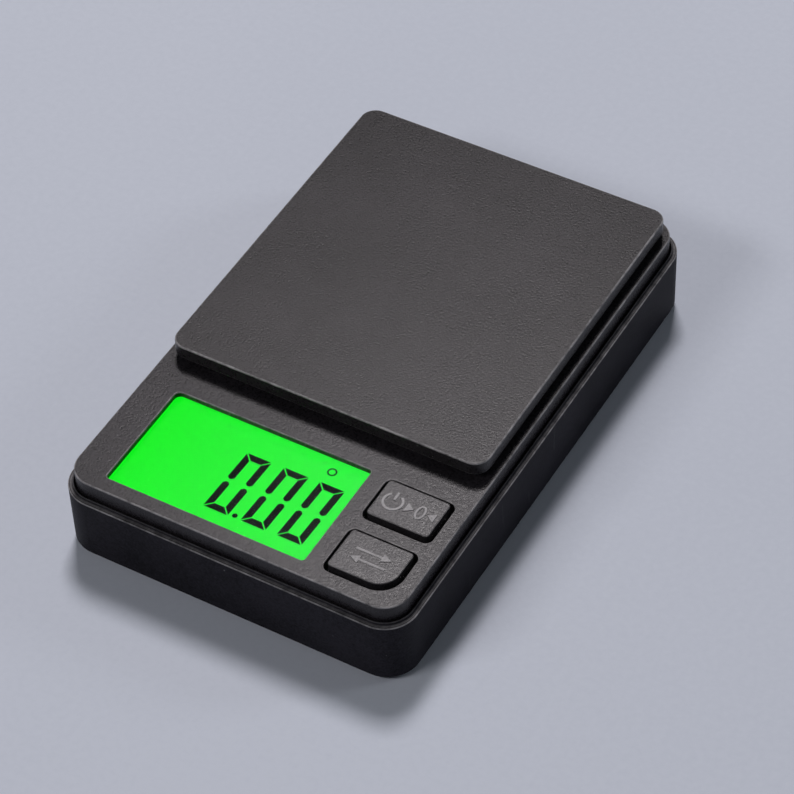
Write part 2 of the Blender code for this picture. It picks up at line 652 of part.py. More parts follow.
def make_display():
    """The lens, the two glasses of the panel, the light guide, the frame and the elastomer connector."""
    lens_x = (WINDOW_LEFT - LENS_MARGIN, WINDOW_RIGHT + LENS_MARGIN)
    lens_y = (WINDOW_FRONT - LENS_MARGIN, WINDOW_BACK + LENS_MARGIN)
    model("display_window", clear_plastic, block(lens_x, lens_y, (LENS_BOTTOM, LENS_TOP)))
    across = (GLASS_LEFT, GLASS_RIGHT)
    rear = (GLASS_FRONT, REAR_GLASS_BACK)
    model("lcd_front_glass", panel_green, block(
        across, (GLASS_FRONT, FRONT_GLASS_BACK), (FRONT_GLASS_TOP - GLASS_THICKNESS, FRONT_GLASS_TOP)
    ))
    model("lcd_rear_glass", glass_clear, block(
        across, rear, (REAR_GLASS_TOP - GLASS_THICKNESS, REAR_GLASS_TOP)
    ))
    model("backlight_guide", guide_white, block(across, rear, (GUIDE_BOTTOM, GUIDE_TOP)))
    led_x = GLASS_LEFT + LED_MARGIN
    led_y = (GLASS_FRONT + REAR_GLASS_BACK) / 2
    model("backlight_led", led_white, block(
        (led_x - LED_WIDTH / 2, led_x + LED_WIDTH / 2),
        (led_y - LED_LENGTH / 2, led_y + LED_LENGTH / 2),
        (BOARD_TOP + REST_GAP, GUIDE_BOTTOM - REST_GAP),
    ))

    pocket_x = (GLASS_LEFT - SLIP_GAP, GLASS_RIGHT + SLIP_GAP)
    pocket_y = (GLASS_FRONT - SLIP_GAP, FRONT_GLASS_BACK + SLIP_GAP)
    frame = model("display_frame", white_plastic, block(
        (pocket_x[0] - FRAME_WALL, pocket_x[1] + FRAME_WALL),
        (pocket_y[0] - FRAME_WALL, pocket_y[1] + FRAME_WALL),
        (FRAME_BOTTOM, FRAME_TOP),
    ))
    shelf = GUIDE_BOTTOM - REST_GAP
    cut(frame, "pocket", block(pocket_x, pocket_y, (shelf, FRAME_TOP + OVERSHOOT)))
    cut(frame, "light_well", block(
        (pocket_x[0] + FRAME_SHELF, pocket_x[1] - FRAME_SHELF),
        (pocket_y[0] + FRAME_SHELF, pocket_y[1]),
        (FRAME_BOTTOM - OVERSHOOT, FRAME_TOP + OVERSHOOT),
    ))
    ledge_y = (REAR_GLASS_BACK + FRONT_GLASS_BACK) / 2 + FILM_GAP
    model("display_connector", grey_rubber, block(
        (GLASS_LEFT + CONNECTOR_END_MARGIN, GLASS_RIGHT - CONNECTOR_END_MARGIN),
        (ledge_y - CONNECTOR_WIDTH / 2, ledge_y + CONNECTOR_WIDTH / 2),
        (BOARD_TOP + REST_GAP, FRONT_GLASS_TOP - GLASS_THICKNESS - REST_GAP),
    ))


def make_key(name, switch_name, y, length, odd_corner=0.0):
    """A key with its flange and post, and the switch and plunger under it."""
    flange_top = CEILING - REST_GAP
    flange_bottom = flange_top - KEY_FLANGE_THICKNESS
    switch_bottom = BOARD_TOP + REST_GAP
    switch_top = switch_bottom + SWITCH_HEIGHT
    plunger_top = switch_top + PLUNGER_RISE
    cap = key_outline(y, length, 0.0, (flange_bottom, DECK_HEIGHT + KEY_RISE), odd_corner)
    key = model(name, key_plastic, cap, (KEY_X, y, flange_bottom))
    flange_z = (flange_bottom, flange_top)
    add(key, "flange", key_outline(y, length, KEY_CLEARANCE + KEY_FLANGE, flange_z, odd_corner))
    post_z = (plunger_top + REST_GAP, flange_bottom + KEY_FLANGE_THICKNESS / 2)
    add(key, "post", drum(KEY_X, y, post_z, KEY_POST_RADIUS, SMALL_SIDES))
    half = SWITCH_WIDTH / 2
    switch = model(switch_name, switch_plastic, block(
        (KEY_X - half, KEY_X + half), (y - half, y + half), (switch_bottom, switch_top)
    ), (KEY_X, y, switch_bottom))
    cut(switch, "bore", drum(
        KEY_X, y, (switch_top - SWITCH_BORE_DEPTH, switch_top + OVERSHOOT), SWITCH_BORE, SMALL_SIDES
    ))
    model(f"{switch_name}_plunger", plunger_plastic, drum(
        KEY_X, y, (switch_top - PLUNGER_SUNK, plunger_top), PLUNGER_RADIUS, SMALL_SIDES
    ), (KEY_X, y, plunger_top))


def make_board():
    """The circuit board, what is soldered on it, and its screws."""
    side = TRAY_WALL + BOARD_SIDE_GAP
    board = model("main_pcb", board_green, block(
        (LEFT + side, RIGHT - side),
        (FRONT + side, BOARD_BACK),
        (BOARD_BOTTOM, BOARD_TOP),
        corner=BOARD_CORNER,
    ))
    holes = [(x, y) for _, x, y in (*case_screw_places(), *board_screw_places()) if y < BOARD_BACK]
    through = (BOARD_BOTTOM - OVERSHOOT, BOARD_TOP + OVERSHOOT)
    cut(board, "holes", *(
        drum(x, y, through, SCREW_RADIUS + 2 * SHANK_GAP, SMALL_SIDES) for x, y in holes
    ))
    under = BOARD_BOTTOM - REST_GAP
    window_x = (WINDOW_LEFT + WINDOW_RIGHT) / 2
    window_y = (WINDOW_FRONT + WINDOW_BACK) / 2
    turned("controller_chip", epoxy_black, (
        (0.0, 0.0),
        (BLOB_RADIUS, 0.0),
        (BLOB_RADIUS * 0.9, -BLOB_HEIGHT * 0.5),
        (BLOB_RADIUS * 0.6, -BLOB_HEIGHT * 0.9),
        (0.0, -BLOB_HEIGHT),
    ), (window_x, window_y, under), sides=ROUND_SIDES)
    converter_x = window_x - CONVERTER_SPACE
    model("converter_chip", epoxy_black, block(
        (converter_x - CONVERTER_WIDTH / 2, converter_x + CONVERTER_WIDTH / 2),
        (window_y - CONVERTER_LENGTH / 2, window_y + CONVERTER_LENGTH / 2),
        (under - CONVERTER_HEIGHT, under),
    ))
    over = BOARD_TOP + REST_GAP
    turned("capacitor", can_blue, (
        (0.0, CAPACITOR_HEIGHT),
        (CAPACITOR_RADIUS - CAPACITOR_EASE, CAPACITOR_HEIGHT),
        (CAPACITOR_RADIUS, CAPACITOR_HEIGHT - CAPACITOR_EASE),
        (CAPACITOR_RADIUS, 0.0),
        (0.0, 0.0),
    ), (CAPACITOR_X, FASTENER_Y, over))
    model("crystal", steel, block(
        (CRYSTAL_X - CRYSTAL_WIDTH / 2, CRYSTAL_X + CRYSTAL_WIDTH / 2),
        (FASTENER_Y - CRYSTAL_LENGTH / 2, FASTENER_Y + CRYSTAL_LENGTH / 2),
        (over, over + CRYSTAL_HEIGHT),
        corner=CRYSTAL_CORNER,
    ))
    for name, x, y in board_screw_places():
        shank = over - FLOOR_TOP - SLIP_GAP
        screw(name, (x, y, over), SCREW_RADIUS, SCREW_HEAD_RADIUS, SCREW_HEAD, shank)


def make_load_cell():
    """The aluminium beam, its spacer, gauges and screws, and the stop under its free end."""
    half_length, half_width = CELL_LENGTH / 2, CELL_WIDTH / 2
    beam_y = (PLATFORM_Y - half_width, PLATFORM_Y + half_width)
    cell = model("load_cell", aluminium, block(
        (-half_length, half_length), beam_y, (CELL_BOTTOM, CELL_TOP)
    ), (0.0, PLATFORM_Y, CELL_BOTTOM))
    past = (beam_y[0] - OVERSHOOT, beam_y[1] + OVERSHOOT)
    middle = (CELL_BOTTOM + CELL_TOP) / 2
    for name, x in (("left_lobe", -CELL_LOBE_OFFSET), ("right_lobe", CELL_LOBE_OFFSET)):
        cut(cell, name, cross_drum(x, past, middle, CELL_LOBE_RADIUS))
    cut(cell, "slot", block(
        (-CELL_LOBE_OFFSET, CELL_LOBE_OFFSET), past, (middle - CELL_SLOT / 2, middle + CELL_SLOT / 2)
    ))
    hole_x = [end * x for end in (-1, 1) for x in (CELL_OUTER_HOLE, CELL_INNER_HOLE)]
    through = (CELL_BOTTOM - OVERSHOOT, CELL_TOP + OVERSHOOT)
    hole_radius = CELL_SCREW_RADIUS + SHANK_GAP
    cut(cell, "screw_holes", *(drum(x, PLATFORM_Y, through, hole_radius, SMALL_SIDES) for x in hole_x))
    low = FLOOR_TOP + PEDESTAL_RISE + REST_GAP
    spacer_x = (-half_length, -CELL_INNER_HOLE + CELL_END_HOLE)
    spacer = model("load_cell_spacer", steel, block(spacer_x, beam_y, (low, low + SPACER_THICKNESS)))
    cut(spacer, "holes", *(
        drum(-x, PLATFORM_Y, (low - OVERSHOOT, low + OVERSHOOT), hole_radius, SMALL_SIDES)
        for x in (CELL_OUTER_HOLE, CELL_INNER_HOLE)
    ))
    gauge_x = (-GAUGE_LENGTH / 2, GAUGE_LENGTH / 2)
    gauge_y = (PLATFORM_Y - GAUGE_WIDTH / 2, PLATFORM_Y + GAUGE_WIDTH / 2)
    over = CELL_TOP + PAD_GAP
    under = CELL_BOTTOM - PAD_GAP
    for name, z in (("top", (over, over + GAUGE_THICKNESS)), ("bottom", (under - GAUGE_THICKNESS, under))):
        model(f"strain_gauge_{name}", gauge_white, block(gauge_x, gauge_y, z, corner=GAUGE_CORNER))
    shank = CELL_BOTTOM + CELL_SCREW_BITE - HEAD_SEAT
    for name, x in (("outer", -CELL_OUTER_HOLE), ("inner", -CELL_INNER_HOLE)):
        screw(f"load_cell_screw_{name}", (x, PLATFORM_Y, HEAD_SEAT), CELL_SCREW_RADIUS,
              CELL_SCREW_HEAD_RADIUS, SCREW_HEAD, shank, upside_down=True)
    stop_top = CELL_BOTTOM - PLATFORM_TRAVEL - STOP_CLEARANCE
    turned("overload_stop", steel, (
        (0.0, stop_top),
        (STOP_RADIUS - STOP_EASE, stop_top),
        (STOP_RADIUS, stop_top - STOP_EASE),
        (STOP_RADIUS, BASE + HEAD_SINK),
        (0.0, BASE + HEAD_SINK),
    ), (CELL_END_X, PLATFORM_Y, 0.0))


def make_platform():
    """The weighing platform, the carrier and pads under it, and the screws into the load cell's free end."""
    half_width, half_length = PLATFORM_WIDTH / 2, PLATFORM_LENGTH / 2
    platform = model("weighing_platform", platform_black, block(
        (-half_width, half_width), (PLATFORM_Y - half_length, PLATFORM_Y + half_length),
        (PLATFORM_BOTTOM, OVERALL_HEIGHT), corner=PLATFORM_CORNER, top_edge=CRISP_EDGE,
    ), (0.0, PLATFORM_Y, PLATFORM_BOTTOM))
    inner_width = half_width - PLATFORM_WALL
    inner_length = half_length - PLATFORM_WALL
    cut(platform, "hollow", block(
        (-inner_width, inner_width),
        (PLATFORM_Y - inner_length, PLATFORM_Y + inner_length),
        (PLATFORM_BOTTOM - OVERSHOOT, OVERALL_HEIGHT - PLATFORM_SKIN),
        corner=PLATFORM_CORNER - PLATFORM_WALL,
    ))
    plate_width = half_width - CARRIER_INSET
    plate_length = half_length - CARRIER_INSET
    carrier = model("platform_carrier", black_plastic, block(
        (-plate_width, plate_width),
        (PLATFORM_Y - plate_length, PLATFORM_Y + plate_length),
        (CARRIER_BOTTOM, CARRIER_TOP),
        corner=CARRIER_CORNER,
    ), (0.0, PLATFORM_Y, CARRIER_BOTTOM))
    add(carrier, "post", block(
        (CELL_END_X - POST_WIDTH / 2, CELL_END_X + POST_WIDTH / 2),
        (PLATFORM_Y - POST_LENGTH / 2, PLATFORM_Y + POST_LENGTH / 2),
        (CELL_TOP + REST_GAP, CARRIER_TOP - CARRIER_PLATE / 2), corner=CARRIER_CORNER / 2,
    ))
    head_seat = CARRIER_TOP - SCREW_HEAD - SLIP_GAP
    free_holes = (("outer", CELL_OUTER_HOLE), ("inner", CELL_INNER_HOLE))
    recess_z = (head_seat - SLIP_GAP, CARRIER_TOP + OVERSHOOT)
    hole_z = (CELL_TOP - OVERSHOOT, head_seat)
    cut(carrier, "screw_recesses", *(
        drum(x, PLATFORM_Y, recess_z, CELL_SCREW_HEAD_RADIUS + SLIP_GAP) for _, x in free_holes
    ))
    cut(carrier, "screw_holes", *(
        drum(x, PLATFORM_Y, hole_z, CELL_SCREW_RADIUS + SHANK_GAP, SMALL_SIDES) for _, x in free_holes
    ))
    shank = head_seat - CELL_TOP + CELL_SCREW_BITE
    for name, x in free_holes:
        screw(f"carrier_screw_{name}", (x, PLATFORM_Y, head_seat), CELL_SCREW_RADIUS,
              CELL_SCREW_HEAD_RADIUS, SCREW_HEAD, shank)
    pad_z = (CARRIER_TOP + PAD_GAP, CARRIER_TOP + PAD_GAP + PAD_THICKNESS)
    pad_end = plate_length - CARRIER_CORNER
    for side, sign in (("left", -1), ("right", 1)):
        pad_x = sign * (plate_width - PAD_WIDTH / 2 - CARRIER_CORNER / 2)
        model(f"platform_pad_{side}", grey_rubber, block(
            (pad_x - PAD_WIDTH / 2, pad_x + PAD_WIDTH / 2),
            (PLATFORM_Y - pad_end, PLATFORM_Y + pad_end),
            pad_z,
        ), (pad_x, PLATFORM_Y, pad_z[0]))


def make_battery(name, y, nub_side):
    """A cell lying along X, with its nub towards nub_side."""
    profile = (
        (0.0, 0.0),
        (BATTERY_NUB_RADIUS, 0.0),
        (BATTERY_NUB_RADIUS, -BATTERY_NUB_LENGTH),
        (BATTERY_RADIUS - BATTERY_EASE, -BATTERY_NUB_LENGTH),
        (BATTERY_RADIUS, -BATTERY_NUB_LENGTH - BATTERY_EASE),
        (BATTERY_RADIUS, -BATTERY_LENGTH + BATTERY_EASE),
        (BATTERY_RADIUS - BATTERY_EASE, -BATTERY_LENGTH),
        (0.0, -BATTERY_LENGTH),
    )
    turned(name, battery_wrap, profile, (nub_side * NUB_X, y, BATTERY_Z),
           (0.0, nub_side * math.pi / 2, 0.0), ROUND_SIDES)


def make_contact(name, side, y):
    """A sprung steel contact plate at one end of the bay, between the limits y."""
    x = sorted((side * CONTACT_X, side * (CONTACT_X + CONTACT_THICKNESS)))
    model(name, nickel, block(x, y, (FLOOR_TOP + CONTACT_LIFT, FLOOR_TOP + CONTACT_LIFT + CONTACT_HEIGHT)))


def make_spring(name, side, y):
    """A conical coil from the contact plate to the flat end of a battery."""
    wide_x = CONTACT_X - REST_GAP - SPRING_WIRE
    narrow_x = BATTERY_LENGTH - NUB_X + REST_GAP + SPRING_WIRE
    steps = round(SPRING_TURNS * SPRING_POINTS_PER_TURN)
    points = []
    for i in range(steps + 1):
        t = i / steps
        angle = 2 * math.pi * SPRING_TURNS * t
        radius = SPRING_WIDE + (SPRING_NARROW - SPRING_WIDE) * t
        x = side * (wide_x + (narrow_x - wide_x) * t)
        points.append((x, y + radius * math.cos(angle), BATTERY_Z + radius * math.sin(angle)))
    tube(name, nickel, points, SPRING_WIRE)


def make_power():
    """The two batteries, their contacts and springs, and the wires to the board."""
    make_battery("battery_front", FRONT_BATTERY_Y, 1)
    make_battery("battery_rear", REAR_BATTERY_Y, -1)
    half = CONTACT_WIDTH / 2
    make_contact("battery_bridge_plate", -1, (FRONT_BATTERY_Y - half, REAR_BATTERY_Y + half))
    make_contact("battery_positive_plate", 1, (FRONT_BATTERY_Y - half, FRONT_BATTERY_Y + half))
    make_contact("battery_negative_plate", 1, (REAR_BATTERY_Y - half, REAR_BATTERY_Y + half))
    make_spring("battery_bridge_spring", -1, FRONT_BATTERY_Y)
    make_spring("battery_negative_spring", 1, REAR_BATTERY_Y)

    wall = BAY_FRONT - BAY_WALL
    low = FLOOR_TOP + REST_GAP + WIRE_RADIUS
    under_plate = FLOOR_TOP + CONTACT_LIFT - REST_GAP - WIRE_RADIUS
    positive_x = CONTACT_X - POSITIVE_WIRE_SIDE
    negative_x = CONTACT_X - REST_GAP
    make_wire("positive_wire", red_insulation, (positive_x, BAY_FRONT + WIRE_END, low),
              wall - WIRE_LANE, POSITIVE_WIRE_X)
    make_wire("negative_wire", black_insulation, (negative_x, REAR_BATTERY_Y - half + WIRE_END, under_plate),
              wall - 2 * WIRE_LANE, NEGATIVE_WIRE_X)
    cell_front = PLATFORM_Y - CELL_WIDTH / 2
    low = FLOOR_TOP + REST_GAP + LEAD_RADIUS
    start = (
        (LEAD_X, cell_front - REST_GAP - LEAD_RADIUS, CELL_TOP - CELL_HEIGHT / 3),
        (LEAD_X, cell_front - 2 * WIRE_STEP, (CELL_BOTTOM + low) / 2),
        (LEAD_X, (cell_front + BOARD_BACK) / 2, low),
    )
    route = (*start, *climb_to_board(LEAD_X, LEAD_RADIUS))
    tube("load_cell_lead", grey_insulation, smooth_route(route, WIRE_STEP), LEAD_RADIUS)


def climb_to_board(x, radius):
    """A wire's way round the board's rear edge, from the tray's floor to the top of the board."""
    edge = BOARD_BACK + REST_GAP + radius
    low = FLOOR_TOP + REST_GAP + radius
    high = BOARD_TOP + REST_GAP + radius
    return (
        (x, edge + WIRE_STEP / 2, low + WIRE_CLIMB),
        (x, edge + REST_GAP, (low + high) / 2),
        (x, edge - WIRE_STEP / 4, high + REST_GAP),
        (x, edge - WIRE_STEP, high),
    )


def make_wire(name, material, start, lane_y, turn_x):
    """A wire from its contact plate through the notch, along its lane, and forward to the board."""
    low = FLOOR_TOP + REST_GAP + WIRE_RADIUS
    x = start[0]
    cell_back = PLATFORM_Y + CELL_WIDTH / 2
    route = (
        start,
        (x, BAY_FRONT + WIRE_LANE / 2, low),
        (x, BAY_FRONT - BAY_WALL, low),
        (x - WIRE_LANE, lane_y, low),
        (turn_x + WIRE_STEP, lane_y, low),
        (turn_x, lane_y - WIRE_STEP, low),
        (turn_x, cell_back - WIRE_STEP, low),
        (turn_x, (PLATFORM_Y + BOARD_BACK) / 2, low),
        *climb_to_board(turn_x, WIRE_RADIUS),
    )
    tube(name, material, smooth_route(route, WIRE_STEP), WIRE_RADIUS)


def make_battery_door():
    """The door, which tilts about its rounded rear edge, where two hooks reach over the floor."""
    origin = (0.0, DOOR_AXIS_Y, DOOR_AXIS_Z)
    door = model("battery_door", black_plastic, block(
        (-DOOR_WIDTH / 2, DOOR_WIDTH / 2), (DOOR_FRONT, DOOR_AXIS_Y), (BASE, FLOOR_TOP)
    ), origin)
    barrel = bmesh.new()
    placed = Matrix.Translation(origin) @ Matrix.Rotation(math.pi / 2, 4, "Y")
    bmesh.ops.create_cone(
        barrel, cap_ends=True, segments=SMALL_SIDES, radius1=FLOOR / 2, radius2=FLOOR / 2, depth=DOOR_WIDTH,
        matrix=placed,
    )
    add(door, "rear_edge", barrel)
    hook_bottom = FLOOR_TOP + REST_GAP
    for side, x in (("left", -DOOR_HOOK_SPREAD), ("right", DOOR_HOOK_SPREAD)):
        across = (x - DOOR_HOOK_WIDTH / 2, x + DOOR_HOOK_WIDTH / 2)
        add(door, f"{side}_riser", block(
            across,
            (DOOR_AXIS_Y - DOOR_HOOK_ROOT, DOOR_AXIS_Y + 2 * DOOR_HOOK_ROOT),
            (DOOR_AXIS_Z, hook_bottom + DOOR_HOOK_THICKNESS),
        ))
        add(door, f"{side}_hook", block(
            across, (DOOR_AXIS_Y - DOOR_HOOK_ROOT, DOOR_BACK + DOOR_HOOK_REACH),
            (hook_bottom, hook_bottom + DOOR_HOOK_THICKNESS),
        ))
    grooves = [DOOR_FRONT + GRIP_MARGIN + i * GRIP_PITCH for i in range(GRIP_GROOVES)]
    groove_z = (BASE - OVERSHOOT, BASE + GRIP_DEPTH)
    cut(door, "grip_grooves", *(
        block((-GRIP_LENGTH / 2, GRIP_LENGTH / 2), (y, y + GRIP_WIDTH), groove_z) for y in grooves
    ))


def make_fasteners_and_feet():
    shank = CEILING - CASE_SCREW_SPARE - HEAD_SEAT
    for name, x, y in case_screw_places():
        place = (x, y, HEAD_SEAT)
        screw(name, place, SCREW_RADIUS, SCREW_HEAD_RADIUS, SCREW_HEAD, shank, upside_down=True)
    for name, x, y in foot_places():
        turned(name, foot_rubber, (
            (0.0, FOOT_THICKNESS),
            (FOOT_RADIUS, FOOT_THICKNESS),
            (FOOT_RADIUS, FOOT_EASE),
            (FOOT_RADIUS - FOOT_EASE, 0.0),
            (0.0, 0.0),
        ), (x, y, 0.0), sides=ROUND_SIDES)


parts, cutters = cleared_scene()

black_plastic = finish("black_plastic", (0.05, 0.048, 0.052), 0.55)
platform_black = finish("platform_black", (0.055, 0.052, 0.056), 0.6)
key_plastic = finish("key_plastic", (0.055, 0.053, 0.057), 0.55)
clear_plastic = finish("clear_plastic", (0.9, 0.95, 0.9), 0.05, alpha=0.15)
panel_green = finish("panel_green", (0.02, 0.9, 0.08), 0.2, glow=(0.02, 0.9, 0.08))
glass_clear = finish("glass_clear", (0.8, 0.9, 0.85), 0.05, alpha=0.4)
guide_white = finish("guide_white", (0.85, 0.9, 0.85), 0.3)
led_white = finish("led_white", (0.95, 0.95, 0.85), 0.3)
white_plastic = finish("white_plastic", (0.8, 0.8, 0.78), 0.5)
grey_rubber = finish("grey_rubber", (0.25, 0.25, 0.26), 0.8)
switch_plastic = finish("switch_plastic", (0.08, 0.08, 0.08), 0.4)
plunger_plastic = finish("plunger_plastic", (0.2, 0.2, 0.2), 0.4)
board_green = finish("board_green", (0.03, 0.2, 0.08), 0.4)
epoxy_black = finish("epoxy_black", (0.02, 0.02, 0.02), 0.35)
can_blue = finish("can_blue", (0.05, 0.08, 0.3), 0.35)
steel = finish("steel", (0.6, 0.6, 0.62), 0.3, metallic=1.0)
nickel = finish("nickel", (0.7, 0.68, 0.62), 0.25, metallic=1.0)
aluminium = finish("aluminium", (0.75, 0.76, 0.78), 0.35, metallic=1.0)
gauge_white = finish("gauge_white", (0.8, 0.8, 0.76), 0.5)
battery_wrap = finish("battery_wrap", (0.08, 0.16, 0.12), 0.35)
red_insulation = finish("red_insulation", (0.6, 0.03, 0.03), 0.45)
black_insulation = finish("black_insulation", (0.03, 0.03, 0.03), 0.45)
grey_insulation = finish("grey_insulation", (0.4, 0.4, 0.42), 0.5)
foot_rubber = finish("foot_rubber", (0.03, 0.03, 0.03), 0.85)

make_bottom_shell()
make_top_cover()
make_display()
make_key("power_tare_key", "power_switch", POWER_KEY_Y, POWER_KEY_LENGTH)
make_key("mode_key", "mode_switch", MODE_KEY_Y, MODE_KEY_LENGTH, MODE_KEY_CORNER)
make_board()
make_load_cell()
make_platform()
make_power()
make_battery_door()
make_fasteners_and_feet()
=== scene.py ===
"""Looks of a digital gram scale: the pieces that show, their finishes, and a plain studio.

X runs across the scale, Y from its display end to its platform end, and Z up. Lengths are in millimetres up to
the point where a mesh is made, and in metres from there on.
"""

import math

import bmesh
import bpy
from mathutils import Matrix, Vector, geometry


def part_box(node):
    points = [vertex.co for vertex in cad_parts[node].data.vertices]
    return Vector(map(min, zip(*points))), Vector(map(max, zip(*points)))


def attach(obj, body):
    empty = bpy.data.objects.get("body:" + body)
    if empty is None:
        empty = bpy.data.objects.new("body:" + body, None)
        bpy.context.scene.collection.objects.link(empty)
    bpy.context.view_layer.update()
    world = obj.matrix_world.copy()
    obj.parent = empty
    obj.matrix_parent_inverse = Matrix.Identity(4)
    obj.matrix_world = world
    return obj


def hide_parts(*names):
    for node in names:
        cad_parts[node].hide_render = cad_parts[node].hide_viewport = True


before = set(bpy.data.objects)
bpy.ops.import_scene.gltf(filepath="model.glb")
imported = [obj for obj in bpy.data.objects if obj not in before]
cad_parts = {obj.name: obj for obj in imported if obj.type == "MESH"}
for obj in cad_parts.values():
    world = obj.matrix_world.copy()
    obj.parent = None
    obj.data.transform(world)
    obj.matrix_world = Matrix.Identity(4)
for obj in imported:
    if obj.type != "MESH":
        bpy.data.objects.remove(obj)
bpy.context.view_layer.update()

MM = 0.001
TINY = 0.01
SEGMENTS = 14
ROUND = 56
SHARP_ANGLE = math.radians(32)


# ---------------------------------------------------------------- places and sizes


class Place:
    """The box round one solid of the scale, in millimetres."""

    def __init__(self, node):
        low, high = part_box(node)
        self.x = (low.x / MM, high.x / MM)
        self.y = (low.y / MM, high.y / MM)
        self.z = (low.z / MM, high.z / MM)
        self.middle = [(a + b) / 2 for a, b in (self.x, self.y, self.z)]


SHELL = Place("bottom_shell")
COVER = Place("top_cover")
PLATFORM = Place("weighing_platform")
POWER = Place("power_tare_key")
MODE = Place("mode_key")
LENS = Place("display_window")
PANEL = Place("lcd_front_glass")
DOOR = Place("battery_door")
CELL = Place("load_cell")
STOP = Place("overload_stop")
PEDESTAL = Place("load_cell_spacer")

# Case, from its outside in
CASE_CORNER = 5.1
BASE_FILLET = 0.6
RIM = 11.5
RIM_FILLET = 0.2
LEDGE = 0.62
LIP = 0.3
PARTING = 0.25
COVER_INSET = LEDGE + LIP + PARTING
COVER_WALL = 1.2
TRAY_WALL = 2.3
FLOOR_TOP = 2.0
SEAT = 9.5
DECK = COVER.z[1]
DECK_FILLET = 0.24
CEILING = DECK - 1.5
SKIRT = 9.8
BAY_FRONT = 19.95
BAY_WALL = 1.2
CONTACT_RIB_X = 25.05
CONTACT_RIB_Y = (30.43, 31.23)
CONTACT_RIB_FOOT = 4.2
WIRE_NOTCH_X = (22.35, 25.65)
WIRE_NOTCH_TOP = 4.4
STOP_HOLE = 1.7
KEY_GAP = 0.65
KEY_FLANGE_GROW = 1.15
KEY_CORNER = 0.6
MODE_KEY_CORNER = 3.15
KEY_EDGE = 0.16
KEY_FLANGE = (11.9, 12.85)
KEY_STEM = 1.5
LEGEND_RISE = 0.1
LEGEND_DEPTH = 0.08
STROKE = 0.46
WINDOW_EDGE = 0.2
LENS_SEAT = 13.75
PLATFORM_CORNER = 2.5
PLATFORM_EDGE = 0.27
PLATFORM_WALL = 1.0
PLATFORM_UNDER = 17.2

# Screws from below, each with the radius of its recess, its hole, its head and its shank
CORNERS = ["front_left", "front_right", "rear_left", "rear_right"]
CASE_SCREWS = [f"case_screw_{corner}" for corner in CORNERS]
CELL_SCREWS = ["load_cell_screw_inner", "load_cell_screw_outer"]
CASE_SCREW = {"recess": 2.0, "hole": 1.2, "head": 1.8, "shank": 1.0}
CELL_SCREW = {"recess": 2.4, "hole": 1.45, "head": 2.2, "shank": 1.25}
SCREWS = {**{name: CASE_SCREW for name in CASE_SCREWS}, **{name: CELL_SCREW for name in CELL_SCREWS}}
RECESS_TOP = 2.3
BOSS_RADIUS = 3.0
BOSS_TOP = 3.9
FEET = [f"foot_{corner}" for corner in CORNERS]
FOOT_RECESS = 2.5
FOOT_RECESS_TOP = 1.3


# ---------------------------------------------------------------- shapes


def rounded(x, y, corners):
    """A function from an inset to the outline of a rounded rectangle drawn in by it.

    corners holds the radius at +X+Y, -X+Y, -X-Y and +X-Y.
    """
    if not isinstance(corners, (list, tuple)):
        corners = [corners] * 4

    def outline(inset=0.0):
        points = []
        for (side_x, side_y, start), corner in zip(((1, 1, 0), (-1, 1, 90), (-1, -1, 180), (1, -1, 270)), corners):
            radius = max(corner - inset, TINY)
            cx = (x[1] if side_x > 0 else x[0]) - side_x * (inset + radius)
            cy = (y[1] if side_y > 0 else y[0]) - side_y * (inset + radius)
            for i in range(SEGMENTS + 1):
                a = math.radians(start + 90 * i / SEGMENTS)
                points.append((cx + radius * math.cos(a), cy + radius * math.sin(a)))
        return points

    return outline


def disc(x, y, radius, count=ROUND):
    """A function from an inset to the outline of a circle drawn in by it."""

    def outline(inset=0.0):
        turns = [2 * math.pi * i / count for i in range(count)]
        return [(x + (radius - inset) * math.cos(a), y + (radius - inset) * math.sin(a)) for a in turns]

    return outline


def fillet(radius, z, inset=0.0, top=True, steps=6, outside=True):
    """(inset, z, mask) of a rounded edge, whose mask paints the edge lighter, partly as wear and partly as a painted
    highlight. At the top it runs from the wall to the flat, at the bottom the other way.

    With outside False the wall is that of an opening, and the flat is on its far side.
    """
    points = []
    side = 1 if outside else -1
    for i in range(steps + 1):
        a = math.pi / 2 * i / steps
        rise = radius * (1 - math.sin(a))
        # The mask peaks midway round the edge and paints it lighter there: partly wear, partly a painted highlight.
        wear_and_highlight = math.sin(2 * a) ** 0.6 if 0 < i < steps else 0.0
        points.append((inset + side * radius * (1 - math.cos(a)), z - rise if top else z + rise, wear_and_highlight))
    return points if top else points[::-1]


